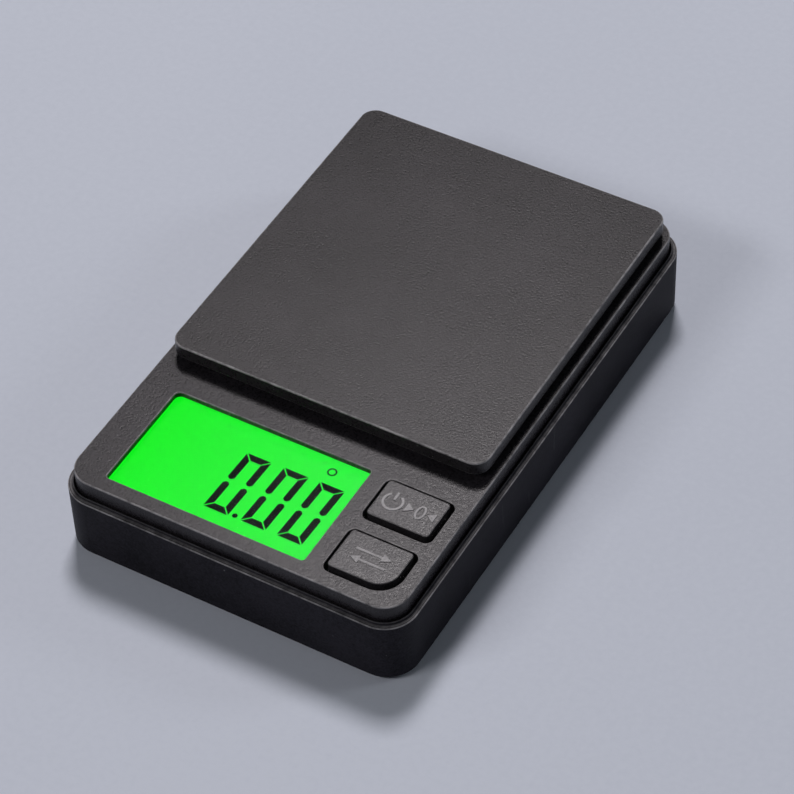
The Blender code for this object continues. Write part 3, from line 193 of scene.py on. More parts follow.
class Skin:
    """The points and faces of a closed skin, built up from level loops."""

    def __init__(self):
        self.points = []
        self.wear_and_highlight = []
        self.faces = []

    def loop(self, outline, z, wear_and_highlight=0.0):
        first = len(self.points)
        self.points += [(x, y, z) for x, y in outline]
        self.wear_and_highlight += [wear_and_highlight] * len(outline)
        return list(range(first, len(self.points)))

    def band(self, a, b):
        for i in range(len(a)):
            j = (i + 1) % len(a)
            self.faces.append((a[i], a[j], b[j], b[i]))

    def fill(self, outer, holes=()):
        flat = [i for loop in (outer, *holes) for i in loop]
        loops = [[Vector((*self.points[i][:2], 0.0)) for i in loop] for loop in (outer, *holes)]
        self.faces += [tuple(flat[k] for k in face) for face in geometry.tessellate_polygon(loops)]

    def area(self, loop):
        """The area inside a level loop."""
        total = 0.0
        for i, j in zip(loop, loop[1:] + loop[:1]):
            (ax, ay, _), (bx, by, _) = self.points[i], self.points[j]
            total += ax * by - bx * ay
        return abs(total) / 2

    def sweep(self, outline, profile):
        """Loops along a profile of (inset, z) or (inset, z, edge mask), joined by bands. Returns the first and last.
        The edge mask paints edges lighter, partly as wear and partly as a painted highlight.
        """
        loops = [self.loop(outline(step[0]), *step[1:]) for step in profile]
        for a, b in zip(loops, loops[1:]):
            self.band(a, b)
        return loops[0], loops[-1]

    def capped(self, outline, profile):
        first, last = self.sweep(outline, profile)
        self.fill(first)
        self.fill(last)
        return self

    def mesh(self, name):
        mesh = bpy.data.meshes.new(name)
        mesh.from_pydata([Vector(p) * MM for p in self.points], [], self.faces)
        # A per-point mask that paints edges lighter, partly as wear and partly as a painted highlight.
        wear_and_highlight = mesh.attributes.new("wear_and_highlight", "FLOAT", "POINT")
        wear_and_highlight.data.foreach_set("value", self.wear_and_highlight)
        shape = bmesh.new()
        shape.from_mesh(mesh)
        bmesh.ops.remove_doubles(shape, verts=shape.verts, dist=2e-7)
        bmesh.ops.recalc_face_normals(shape, faces=shape.faces)
        shape.to_mesh(mesh)
        shape.free()
        return mesh


def solid(outline, *profile):
    return Skin().capped(outline, profile)


def block(x, y, z, corner=0.0, edge=0.0):
    """A block with rounded upright corners and, where edge is given, rounded edges at its top and bottom."""
    if not edge:
        return solid(rounded(x, y, corner), (0, z[0]), (0, z[1]))
    foot = fillet(edge, z[0], top=False, steps=4)
    return solid(rounded(x, y, max(corner, edge)), *foot, *fillet(edge, z[1], steps=4))


def merged(name, skins):
    """One mesh that holds several skins."""
    shape = bmesh.new()
    for skin in skins:
        part = skin.mesh("part")
        shape.from_mesh(part)
        bpy.data.meshes.remove(part)
    mesh = bpy.data.meshes.new(name)
    shape.to_mesh(mesh)
    shape.free()
    return mesh


def hold_flat_faces(mesh):
    """Parts the level faces from the rounded edges round them, so that they shade as flat."""
    shape = bmesh.new()
    shape.from_mesh(mesh)
    for edge in shape.edges:
        level = [abs(face.normal.z) > 0.99995 for face in edge.link_faces]
        if any(level) and not all(level):
            edge.smooth = False
    shape.to_mesh(mesh)
    shape.free()


def piece(name, mesh, material, body, nodes=(), sharp=SHARP_ANGLE):
    """A piece of the visual model: smooth apart from its sharp edges, riding on a body."""
    made = bpy.data.objects.new(name, mesh)
    bpy.context.scene.collection.objects.link(made)
    mesh.materials.clear()
    mesh.materials.append(material)
    mesh.shade_smooth()
    mesh.set_sharp_from_angle(angle=sharp)
    hold_flat_faces(mesh)
    weigh = made.modifiers.new("weighted_normals", "WEIGHTED_NORMAL")
    weigh.keep_sharp = True
    weigh.weight = 60
    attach(made, body)
    if nodes:
        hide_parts(*nodes)
    return made


def boolean(mesh, operation, skins):
    """The mesh after one exact Boolean with each of the skins."""
    base = bpy.data.objects.new("boolean_base", mesh)
    bpy.context.scene.collection.objects.link(base)
    helpers = []
    for i, skin in enumerate(skins):
        helper = bpy.data.objects.new(f"boolean_helper_{i}", skin.mesh("helper"))
        bpy.context.scene.collection.objects.link(helper)
        step = base.modifiers.new(f"step_{i}", "BOOLEAN")
        step.operation = operation
        step.solver = "EXACT"
        step.object = helper
        helpers.append(helper)
    bpy.context.view_layer.update()
    graph = bpy.context.evaluated_depsgraph_get()
    result = bpy.data.meshes.new_from_object(base.evaluated_get(graph))
    result.name = mesh.name
    for thing in (base, *helpers):
        bpy.data.objects.remove(thing)
    return result


def ribbon(points, width, z, closed=False):
    """A flat raised stroke along a path, with its top edges eased."""
    count = len(points)
    sides = []
    for i, (x, y) in enumerate(points):
        before = points[i - 1] if closed or i else None
        after = points[(i + 1) % count] if closed or i < count - 1 else None
        normals = []
        for a, b in ((before, (x, y)), ((x, y), after)):
            if a is None or b is None:
                continue
            dx, dy = b[0] - a[0], b[1] - a[1]
            length = math.hypot(dx, dy)
            normals.append((-dy / length, dx / length))
        nx = sum(n[0] for n in normals) / len(normals)
        ny = sum(n[1] for n in normals) / len(normals)
        square = nx * nx + ny * ny
        sides.append((nx / square, ny / square))
    ease = min(0.07, width / 4)
    skin = Skin()

    def strip(half, height, wear_and_highlight=0.0):
        a = [(x + nx * half, y + ny * half) for (x, y), (nx, ny) in zip(points, sides)]
        b = [(x - nx * half, y - ny * half) for (x, y), (nx, ny) in zip(points, sides)]
        if closed:
            return skin.loop(a, height, wear_and_highlight), skin.loop(b, height, wear_and_highlight)
        return (skin.loop(a + b[::-1], height, wear_and_highlight),)

    # The eased top edge of each stroke carries a mask that paints it lighter, partly as wear and partly as a painted
    # highlight.
    levels = [strip(width / 2, z[0]), strip(width / 2, z[1] - ease), strip(width / 2 - ease, z[1], 0.4)]
    for low, high in zip(levels, levels[1:]):
        for a, b in zip(low, high):
            skin.band(a, b)
    for level in (levels[0], levels[-1]):
        outer, *holes = sorted(level, key=skin.area, reverse=True)
        skin.fill(outer, holes)
    return skin


def polygon(points, z):
    """A flat prism over a polygon."""
    skin = Skin()
    low, high = skin.loop(points, z[0]), skin.loop(points, z[1])
    skin.band(low, high)
    skin.fill(low)
    skin.fill(high)
    return skin


# ---------------------------------------------------------------- materials


class Graph:
    """A material's node tree, with short ways to add to it."""

    def __init__(self, name):
        self.material = bpy.data.materials.new(name)
        self.material.use_nodes = True
        self.tree = self.material.node_tree
        self.shader = self.tree.nodes["Principled BSDF"]
        self.where = self.node("ShaderNodeTexCoord").outputs["Object"]

    def node(self, kind, inputs=None, **settings):
        made = self.tree.nodes.new(kind)
        for key, value in settings.items():
            setattr(made, key, value)
        for key, value in (inputs or {}).items():
            self.set(made.inputs[key], value)
        return made

    def set(self, socket, value):
        if isinstance(value, bpy.types.NodeSocket):
            self.tree.links.new(value, socket)
        elif socket.type == "RGBA" and len(value) == 3:
            socket.default_value = (*value, 1.0)
        else:
            socket.default_value = value

    def look(self, **inputs):
        for key, value in inputs.items():
            self.set(self.shader.inputs[key.replace("_", " ")], value)

    def noise(self, scale, detail=2.0, roughness=0.5, stretch=None):
        at = self.where
        if stretch:
            at = self.node("ShaderNodeMapping", {"Vector": at, "Scale": stretch}).outputs["Vector"]
        inputs = {"Vector": at, "Scale": scale, "Detail": detail, "Roughness": roughness}
        return self.node("ShaderNodeTexNoise", inputs).outputs["Fac"]

    def cells(self, scale):
        inputs = {"Vector": self.where, "Scale": scale}
        return self.node("ShaderNodeTexVoronoi", inputs, feature="F1").outputs["Distance"]

    def span(self, value, low, high, to_low=0.0, to_high=1.0):
        made = self.node(
            "ShaderNodeMapRange",
            {"Value": value, "From Min": low, "From Max": high, "To Min": to_low, "To Max": to_high},
        )
        return made.outputs["Result"]

    def math(self, operation, a, b):
        made = self.node("ShaderNodeMath", operation=operation)
        self.set(made.inputs[0], a)
        self.set(made.inputs[1], b)
        return made.outputs["Value"]

    def mix(self, share, a, b):
        made = self.node("ShaderNodeMix", data_type="RGBA")
        self.set(made.inputs[0], share)
        self.set(made.inputs[6], a)
        self.set(made.inputs[7], b)
        return made.outputs[2]

    def attribute(self, name):
        return self.node("ShaderNodeAttribute", attribute_name=name).outputs["Fac"]

    def bump(self, height, distance):
        made = self.node("ShaderNodeBump", {"Height": height, "Distance": distance, "Strength": 1.0})
        return made.outputs["Normal"]

    def axis(self, axis):
        return self.node("ShaderNodeSeparateXYZ", {"Vector": self.where}).outputs[axis]


def shade(colour, factor):
    return tuple(c * factor for c in colour)


# The lighter tone that edges are painted with: partly burnished plastic, partly a painted highlight.
WORN_AND_HIGHLIGHT_TONE = (0.44, 0.43, 0.435)
TONE_SPREAD = 0.5


def moulded(name, tone, roughness, grain=3100, depth=0.036, worn_and_highlight=WORN_AND_HIGHLIGHT_TONE, specular=0.24):
    """Moulded plastic: a fine spark-eroded grain, faint flow streaks, scuffs, dust specks, and edges painted
    lighter, partly as wear and partly as a painted highlight.
    """
    g = Graph(name)
    fine = g.noise(grain, 3.0, 0.65)
    cloud = g.noise(60, 4.0, 0.55)
    streak = g.noise(1.0, 4.0, 0.7, stretch=(1500, 220, 1500))
    scuff = g.noise(1.0, 2.0, 0.5, stretch=(120, 900, 120))
    body = g.math("ADD", g.math("MULTIPLY", fine, 0.5), g.math("MULTIPLY", cloud, 0.3))
    body = g.math("ADD", body, g.math("MULTIPLY", streak, 0.2))
    colour = g.mix(g.span(body, 0.40, 0.60), shade(tone, 1 - TONE_SPREAD), shade(tone, 1 + TONE_SPREAD))
    scratch = g.math("MULTIPLY", g.span(scuff, 0.68, 0.74), g.span(cloud, 0.5, 0.62))
    colour = g.mix(g.math("MULTIPLY", scratch, 0.08), colour, shade(worn_and_highlight, 0.6))
    speck = g.span(g.cells(420), 0.07, 0.035)
    speck = g.math("MULTIPLY", speck, g.span(g.noise(150, 1.0), 0.56, 0.6))
    colour = g.mix(g.math("MULTIPLY", speck, 0.55), colour, (0.2, 0.2, 0.205))
    # Edges painted lighter by the edge mask, broken up by noise: partly wear, partly a painted highlight.
    rub_and_highlight = g.math("MULTIPLY", g.attribute("wear_and_highlight"), g.span(g.noise(420, 5.0, 0.75), 0.34, 0.62, 0.28, 1.0))
    colour = g.mix(rub_and_highlight, colour, worn_and_highlight)
    matt = g.span(fine, 0.3, 0.7, roughness - 0.10, roughness + 0.10)
    matt = g.math("ADD", matt, g.span(streak, 0.35, 0.65, -0.015, 0.015))
    matt = g.math("SUBTRACT", matt, g.math("MULTIPLY", rub_and_highlight, 0.1))
    height = g.math("ADD", fine, g.math("MULTIPLY", scratch, -0.15))
    g.look(
        Base_Color=colour,
        Roughness=matt,
        Specular_IOR_Level=specular,
        IOR=1.5,
        Normal=g.bump(height, depth * MM),
    )
    return g.material


def plain(name, low, high, roughness, scale=900, metallic=0.0, depth=0.004, specular=0.5, stretch=None, coat=0.0):
    """A finish whose colour and gloss vary between two tones over a fine texture."""
    g = Graph(name)
    fine = g.noise(1.0 if stretch else scale, 4.0, 0.6, stretch=stretch)
    cloud = g.noise(scale / 9, 3.0)
    body = g.math("ADD", g.math("MULTIPLY", fine, 0.6), g.math("MULTIPLY", cloud, 0.4))
    g.look(
        Base_Color=g.mix(g.span(body, 0.34, 0.66), low, high),
        Roughness=g.span(fine, 0.3, 0.7, roughness * 0.8, roughness * 1.2),
        Metallic=metallic,
        Specular_IOR_Level=specular,
        Coat_Weight=coat,
        Normal=g.bump(fine, depth * MM),
    )
    return g.material


def lit_panel():
    """The backlit face of the liquid crystal panel, with a painted reflection that makes it a little paler towards
    the keys.
    """
    g = Graph("lcd_backlit_green")
    # The glow grows paler towards the keys: a painted reflection of the studio light on the glass, over the
    # backlight's own glow.
    across = g.span(g.axis("X"), PANEL.x[0] * MM, PANEL.x[1] * MM)
    glow_and_painted_sheen = g.mix(across, (0.003, 0.90, 0.012), (0.026, 0.90, 0.055))
    glow_and_painted_sheen = g.mix(g.span(g.noise(90, 3.0), 0.35, 0.65, 0.0, 0.12), glow_and_painted_sheen, (0.002, 0.78, 0.010))
    fine = g.noise(4000, 1.0)
    g.look(
        Base_Color=g.mix(g.span(fine, 0.3, 0.7), (0.004, 0.05, 0.006), (0.006, 0.07, 0.008)),
        Roughness=g.span(fine, 0.3, 0.7, 0.16, 0.22),
        Emission_Color=glow_and_painted_sheen,
        Emission_Strength=1.06,
        Specular_IOR_Level=0.05,
    )
    return g.material


def lens_material():
    """Clear, hard-coated acrylic with the faintest unevenness."""
    g = Graph("lens_clear_acrylic")
    fine = g.noise(1500, 2.0)
    g.look(
        Base_Color=g.mix(fine, (0.975, 0.99, 0.98), (0.99, 1.0, 0.99)),
        Roughness=g.span(fine, 0.3, 0.7, 0.02, 0.06),
        Transmission_Weight=1.0,
        IOR=1.49,
        Specular_IOR_Level=0.22,
        Normal=g.bump(g.noise(120, 2.0), 0.0006 * MM),
    )
    return g.material


case_black = moulded("case_black_plastic", (0.020, 0.018, 0.021), 0.30)
tray_black = moulded("tray_black_plastic", (0.020, 0.019, 0.024), 0.5, specular=0.05)
platform_black = moulded("platform_black_plastic", (0.022, 0.020, 0.022), 0.31, grain=3000, depth=0.042)
# Key edges are painted lighter with this tone: partly wear, partly a painted highlight.
key_black = moulded(
    "key_black_plastic", (0.028, 0.026, 0.029), 0.315, grain=3200, worn_and_highlight=(0.2, 0.195, 0.2), specular=0.32
)
legend_grey = moulded("key_legend_grey", (0.34, 0.335, 0.34), 0.4, grain=3200)
carrier_black = moulded("carrier_black_plastic", (0.022, 0.021, 0.023), 0.6)
segment_ink = plain("lcd_segment_ink", (0.004, 0.003, 0.005), (0.010, 0.007, 0.012), 0.5, 3000, specular=0.03)
panel_green = lit_panel()
clear_lens = lens_material()


# ---------------------------------------------------------------- bottom shell


case = rounded(SHELL.x, SHELL.y, CASE_CORNER)


def recess(x, y, radius, top):
    """A cutter for a round recess in the underside, with an eased mouth."""
    ease = 0.15
    base = SHELL.z[0]
    return solid(disc(x, y, radius), (-ease - 0.1, base - 0.1), (0, base + ease), (0, top))


def make_bottom_shell():
    tray = Skin().capped(
        case,
        [
            *((step[0], step[1]) for step in fillet(BASE_FILLET, SHELL.z[0], top=False, steps=8)),
            # Third numbers: a mask that paints the rim, ledge and lip lighter, partly as wear and partly as a
            # painted highlight.
            *fillet(RIM_FILLET, RIM, steps=7),
            (RIM_FILLET + 0.12, RIM, 0.55),
            (LEDGE - 0.06, RIM, 0.35),
            (LEDGE, RIM + 0.06, 0.1),
            (LEDGE, RIM + 0.37),
            (LEDGE + 0.08, RIM + 0.45, 0.3),
            (LEDGE + LIP - 0.06, RIM + 0.45),
            (LEDGE + LIP, RIM + 0.39),
            (LEDGE + LIP, SEAT),
            (TRAY_WALL, SEAT),
            (TRAY_WALL, FLOOR_TOP + 0.3),
            (TRAY_WALL + 0.3, FLOOR_TOP),
        ],
    ).mesh("bottom_shell_tray")
    inner = (SHELL.x[0] + TRAY_WALL / 2, SHELL.x[1] - TRAY_WALL / 2)
    crest = (SHELL.x[0] + COVER_INSET + COVER_WALL + 0.2, SHELL.x[1] - COVER_INSET - COVER_WALL - 0.2)
    under = (SHELL.z[0] + FLOOR_TOP) / 2
    wall_y = (BAY_FRONT - BAY_WALL, BAY_FRONT)
    case_screws = [Place(name).middle for name in CASE_SCREWS]
    board_screws = [Place("board_screw_left").middle, Place("board_screw_right").middle]
    boss = [(0, under), *fillet(0.15, BOSS_TOP, steps=3)]
    tray = boolean(
        tray,
        "UNION",
        [
            block(inner, wall_y, (under, SEAT)),
            block(crest, wall_y, (under, CEILING - 0.3)),
            block(PEDESTAL.x, CELL.y, (under, 4.0), 0.4, 0.15),
            *(solid(disc(m[0], m[1], BOSS_RADIUS), *boss) for m in case_screws + board_screws),
            solid(disc(STOP.middle[0], STOP.middle[1], BOSS_RADIUS), (0, under), *fillet(0.15, 4.0, steps=3)),
            block((CONTACT_RIB_X, inner[1]), CONTACT_RIB_Y, (CONTACT_RIB_FOOT, SEAT)),
        ],
    )
    mouth = 0.2
    opening = rounded((DOOR.x[0] - 0.3, DOOR.x[1] + 0.3), (BAY_FRONT, DOOR.y[1] - 0.3), 0.4)
    base = SHELL.z[0]
    tray = boolean(
        tray,
        "DIFFERENCE",
        [
            solid(opening, (-mouth - 0.1, base - 0.1), (0, base + mouth), (0, FLOOR_TOP + 1.0)),
            *(recess(*Place(name).middle[:2], sizes["recess"], RECESS_TOP) for name, sizes in SCREWS.items()),
            *(
                solid(disc(*Place(name).middle[:2], sizes["hole"]), (0, 2.0), (0, 4.5))
                for name, sizes in SCREWS.items()
            ),
            *(solid(disc(m[0], m[1], 1.0), (0, FLOOR_TOP + 0.3), (0, 4.5)) for m in board_screws),
            *(recess(*Place(name).middle[:2], FOOT_RECESS, FOOT_RECESS_TOP) for name in FEET),
            recess(*STOP.middle[:2], STOP_HOLE, 4.6),
            block(WIRE_NOTCH_X, (BAY_FRONT - BAY_WALL - 0.5, BAY_FRONT + 0.5), (FLOOR_TOP, WIRE_NOTCH_TOP), 0.3),
        ],
    )
    piece("case_tray", tray, tray_black, "scale_case", ["bottom_shell"])


make_bottom_shell()


# ---------------------------------------------------------------- top cover


power_cap_x = (POWER.x[0] + KEY_FLANGE_GROW, POWER.x[1] - KEY_FLANGE_GROW)
power_cap = rounded(power_cap_x, (POWER.y[0] + KEY_FLANGE_GROW, POWER.y[1] - KEY_FLANGE_GROW), KEY_CORNER)
mode_cap_x = (MODE.x[0] + KEY_FLANGE_GROW, MODE.x[1] - KEY_FLANGE_GROW)
mode_cap_y = (MODE.y[0] + KEY_FLANGE_GROW, MODE.y[1] - KEY_FLANGE_GROW)
mode_cap = rounded(mode_cap_x, mode_cap_y, (KEY_CORNER, KEY_CORNER, KEY_CORNER, MODE_KEY_CORNER))
window_x = (LENS.x[0] + 0.6, LENS.x[1] - 0.6)
window_y = (LENS.y[0] + 0.6, LENS.y[1] - 0.6)
window = rounded(window_x, window_y, (0.5, 1.0, 0.5, 0.5))
lens_seat = rounded((window_x[0] - 0.8, window_x[1] + 0.8), (window_y[0] - 0.8, window_y[1] + 0.8), 0.8)
post = rounded((STOP.middle[0] - 5.8, STOP.middle[0] + 5.8), (CELL.middle[1] - 5.1, CELL.middle[1] + 5.1), 1.0)


def make_top_cover():
    skin = Skin()
    case_inside = COVER_INSET + COVER_WALL
    low, deck = skin.sweep(
        case,
        [
            (case_inside, CEILING),
            (case_inside, SKIRT + 0.1),
            (case_inside - 0.1, SKIRT),
            (COVER_INSET + 0.1, SKIRT),
            (COVER_INSET, SKIRT + 0.1),
            *fillet(DECK_FILLET, DECK, inset=COVER_INSET, steps=8),
        ],
    )
    tops, bottoms = [], []
    key_hole = [*fillet(KEY_EDGE, DECK, inset=-KEY_GAP, outside=False, steps=8)[::-1], (-KEY_GAP, CEILING)]
    for outline in (power_cap, mode_cap):
        top, bottom = skin.sweep(outline, key_hole)
        tops.append(top)
        bottoms.append(bottom)
    top, bottom = skin.sweep(post, [*fillet(KEY_EDGE, DECK, outside=False, steps=8)[::-1], (0, CEILING)])
    tops.append(top)
    bottoms.append(bottom)
    window_edge = fillet(WINDOW_EDGE, DECK, outside=False, steps=8)[::-1]
    window_top, window_low = skin.sweep(window, [*window_edge, (0, LENS_SEAT)])
    tops.append(window_top)
    seat_top, seat_low = skin.sweep(lens_seat, [(0, LENS_SEAT), (0, CEILING)])
    skin.fill(seat_top, [window_low])
    bottoms.append(seat_low)
    for name in CASE_SCREWS:
        x, y, _ = Place(name).middle
        wide, foot = skin.sweep(disc(x, y, 2.1), [(0, CEILING), (0, 4.35), (0.15, 4.2)])
        mouth, end = skin.sweep(disc(x, y, 0.85), [(-0.15, 4.2), (0, 4.35), (0, 11.4)])
        skin.fill(foot, [mouth])
        skin.fill(end)
        bottoms.append(wide)
    skin.fill(deck, tops)
    skin.fill(low, bottoms)
    cover = skin.mesh("top_cover_skin")
    middle = (SKIRT + RIM) / 2
    snaps = []
    for x in (-13.0, 13.0):
        for side in (-1, 1):
            edge = COVER.y[1] * side
            inner = edge - side * 1.1
            y = (min(edge, inner), max(edge, inner))
            snaps.append(block((x - 3, x + 3), y, (middle - 0.35, middle + 0.35), 0.3, 0.12))
    cover = boolean(cover, "UNION", snaps)
    piece("case_cover", cover, case_black, "scale_case", ["top_cover"])


make_top_cover()


# ---------------------------------------------------------------- weighing platform


def make_platform():
    skin = Skin()
    outline = rounded(PLATFORM.x, PLATFORM.y, PLATFORM_CORNER)
    under, top = skin.sweep(
        outline,
        [
            (PLATFORM_WALL + 0.3, PLATFORM_UNDER),
            (PLATFORM_WALL, PLATFORM_UNDER - 0.3),
            (PLATFORM_WALL, PLATFORM.z[0] + 0.1),
            (PLATFORM_WALL - 0.1, PLATFORM.z[0]),
            *fillet(0.15, PLATFORM.z[0], top=False, steps=4),
            *fillet(PLATFORM_EDGE, PLATFORM.z[1], steps=8),
        ],
    )
    skin.fill(under)
    skin.fill(top)
    plate = skin.mesh("platform_skin")
    piece("weighing_plate", plate, platform_black, "platform", ["weighing_platform"])


make_platform()


# ---------------------------------------------------------------- keys


def arc(x, y, radius, start, end, count=22):
    turns = [math.radians(start + (end - start) * i / count) for i in range(count + 1)]
    return [(x + radius * math.cos(a), y + radius * math.sin(a)) for a in turns]


legend_z = (POWER.z[1] - LEGEND_RISE - LEGEND_DEPTH, POWER.z[1])


def arrowhead(x, y, length, half):
    """A solid arrowhead whose point is at x, y; a negative length points it to the left."""
    corners = [(x, y), (x - length, y + half), (x - length, y - half)]
    return polygon(corners if length > 0 else corners[::-1], legend_z)


def standby_sign(x, y):
    """The ring and bar of an on and off key."""
    return [
        ribbon(arc(x, y, 1.45, 125, 415), STROKE, legend_z),
        ribbon([(x, y + 0.35), (x, y + 1.85)], STROKE, legend_z),
    ]


def oval(x, y, half_x, half_y, count=28):
    turns = [2 * math.pi * i / count for i in range(count)]
    return [(x + half_x * math.cos(a), y + half_y * math.sin(a)) for a in turns]


def zero_sign(x, y):
    """A nought between two arrowheads, for setting the reading to nought."""
    return [
        ribbon(oval(x, y, 0.62, 1.15), STROKE * 0.85, legend_z, closed=True),
        arrowhead(x - 1.1, y, 1.2, 0.85),
        arrowhead(x + 1.1, y, -1.2, 0.85),
    ]


def change_sign(x, y):
    """Two opposed arrows, for stepping through the units."""
    return [
        ribbon([(x - 2.7, y + 0.85), (x + 1.5, y + 0.85)], STROKE, legend_z),
        arrowhead(x + 2.8, y + 0.85, 1.45, 0.72),
        ribbon([(x + 2.7, y - 0.85), (x - 1.5, y - 0.85)], STROKE, legend_z),
        arrowhead(x - 2.8, y - 0.85, -1.45, 0.72),
    ]


power_x, power_y, _ = POWER.middle
mode_x, mode_y, _ = MODE.middle
power_legend = [*standby_sign(power_x - 2.5, power_y), *zero_sign(power_x + 1.9, power_y)]
mode_legend = change_sign(mode_x, mode_y)


def make_key(name, place, cap, legend, body, node):
    """A key: a cap over a wider flange, a stem that bears on its switch, and a raised sign."""
    skin = Skin()
    flange_low, flange_high = KEY_FLANGE
    rim, top = skin.sweep(
        cap,
        [
            (-KEY_FLANGE_GROW + 0.1, flange_low),
            (-KEY_FLANGE_GROW, flange_low + 0.1),
            (-KEY_FLANGE_GROW, flange_high - 0.1),
            (-KEY_FLANGE_GROW + 0.1, flange_high),
            (-0.1, flange_high),
            (0, flange_high + 0.1),
            *fillet(KEY_EDGE, place.z[1] - LEGEND_RISE, steps=8),
        ],
    )
    x, y, _ = place.middle
    stem = [(0, flange_low), (0, place.z[0] + 0.15), (0.15, place.z[0])]
    mouth, foot = skin.sweep(disc(x, y, KEY_STEM, 32), stem)
    skin.fill(rim, [mouth])
    skin.fill(foot)
    skin.fill(top)
    piece(name, skin.mesh(name), key_black, body, [node])
    first, *others = legend
    marks = boolean(first.mesh(f"{name}_legend"), "UNION", others)
    piece(f"{name}_legend", marks, legend_grey, body)


make_key("power_tare_button", POWER, power_cap, power_legend, "power_key", "power_tare_key")
make_key("mode_button", MODE, mode_cap, mode_legend, "mode_key", "mode_key")


# ---------------------------------------------------------------- display


def make_display():
    panel = block(PANEL.x, PANEL.y, PANEL.z, 0.4, 0.06)
    piece("lcd_panel", panel.mesh("lcd_panel"), panel_green, "scale_case", ["lcd_front_glass"])
    lens = block(LENS.x, LENS.y, LENS.z, 0.6, 0.05)
    piece("display_lens", lens.mesh("display_lens"), clear_lens, "scale_case", ["display_window"])


INK_Z = (PANEL.z[1] - 0.01, PANEL.z[1] + 0.02)
DIGIT_WIDTH = 4.05
DIGIT_HEIGHT = 11.35
SEGMENT = 1.08
SEGMENT_GAP = 0.2
MIDDLE_GAP = 0.33
LEAN = 0.03
DIGIT_CORNERS = [(-7.29, -37.3), (-1.21, -37.18), (4.64, -37.08)]
POINT_PLACE = (-2.31, -36.84)
POINT_RADIUS = 0.4
RING_PLACE = (5.54, -23.37)
RING_RADIUS = 0.62
RING_STROKE = 0.34


def digit_segments(x, y):
    """The six lit segments of a nought whose lower left corner is at x, y."""
    w, h, t, g = DIGIT_WIDTH, DIGIT_HEIGHT, SEGMENT, SEGMENT_GAP / math.sqrt(2)
    half = h / 2
    cut = t * 0.32
    top = [(g, h), (w - g, h), (w - t - g, h - t), (t + g, h - t)]
    bottom = [(g, 0), (t + g, t), (w - t - g, t), (w - g, 0)]
    shapes = [top, bottom]
    for mirror in (False, True):
        upper = [
            (0, h - g),
            (t, h - t - g),
            (t, half + MIDDLE_GAP + cut),
            (t - cut, half + MIDDLE_GAP),
            (cut, half + MIDDLE_GAP),
            (0, half + MIDDLE_GAP + cut),
        ]
        lower = [(px, h - py) for px, py in upper]
        for shape in (upper, lower):
            shapes.append([(w - px, py) for px, py in shape] if mirror else shape)
    return [polygon([(x + px + LEAN * py, y + py) for px, py in shape], INK_Z) for shape in shapes]


def make_digits():
    """Three noughts with their point, and the small ring that shows a steady reading."""
    skins = []
    for x, y in DIGIT_CORNERS:
        skins += digit_segments(x, y)
    skins.append(solid(disc(*POINT_PLACE, POINT_RADIUS, 20), (0, INK_Z[0]), (0, INK_Z[1])))
    skins.append(ribbon(oval(*RING_PLACE, RING_RADIUS, RING_RADIUS), RING_STROKE, INK_Z, closed=True))
    piece("lcd_digits", merged("lcd_digits", skins), segment_ink, "scale_case")


make_display()
make_digits()


# ---------------------------------------------------------------- underside and battery bay


def lathe(x, y, steps, count=48):
    """A turned skin about an upright axis. Steps are (radius, z) or (radius, z, edge mask), whose mask paints edges
    lighter, partly as wear and partly as a painted highlight.
    """
    return Skin().capped(disc(x, y, 0.0, count), [(-step[0], *step[1:]) for step in steps])


HEAD_DEPTH = 1.2
THREAD_PITCH = 0.7
THREAD_ROOT = 0.78
CROSS_DEPTH = 0.62
CROSS_HALF_WIDTH = 0.2


def make_screw(name, head, shank):
    """A pan-head screw, head down, with a cross recess and a coarse thread."""
    place = Place(name)
    x, y, _ = place.middle
    low, high = place.z
    seat = low + HEAD_DEPTH
    steps = [
        (head * 0.72, low),
        (head * 0.9, low + 0.08, 0.5),
        (head, low + 0.4),
        (head, seat - 0.05),
        (head - 0.05, seat),
        (shank, seat),
    ]
    root = shank * THREAD_ROOT
    turn = seat + 0.5
    while turn + THREAD_PITCH < high - 0.8:
        steps += [(root, turn), (root, turn + 0.3), (shank, turn + 0.5), (shank, turn + 0.55)]
        turn += THREAD_PITCH
    steps += [(shank * 0.75, high - 0.6), (shank * 0.3, high)]
    reach, slot = head * 0.52, CROSS_HALF_WIDTH
    depth = (low - 0.2, low + CROSS_DEPTH)
    cross = [
        block((x - reach, x + reach), (y - slot, y + slot), depth, 0.05),
        block((x - slot, x + slot), (y - reach, y + reach), depth, 0.05),
    ]
    mesh = boolean(lathe(x, y, steps).mesh(name), "DIFFERENCE", cross)
    piece(f"{name}_turned", mesh, steel, "scale_case", [name])


def make_foot(name):
    """A round rubber foot with an eased rim and a shallow dimple."""
    place = Place(name)
    x, y, _ = place.middle
    radius = (place.x[1] - place.x[0]) / 2
    low, high = place.z
    steps = [
        (radius * 0.5, low + 0.12),
        (radius * 0.58, low + 0.02),
        (radius * 0.62, low),
        (radius - 0.28, low),
        (radius - 0.1, low + 0.07),
        (radius, low + 0.28),
        (radius, high - 0.06),
        (radius - 0.06, high),
    ]
    piece(f"{name}_pad", lathe(x, y, steps).mesh(name), rubber_black, "scale_case", [name])


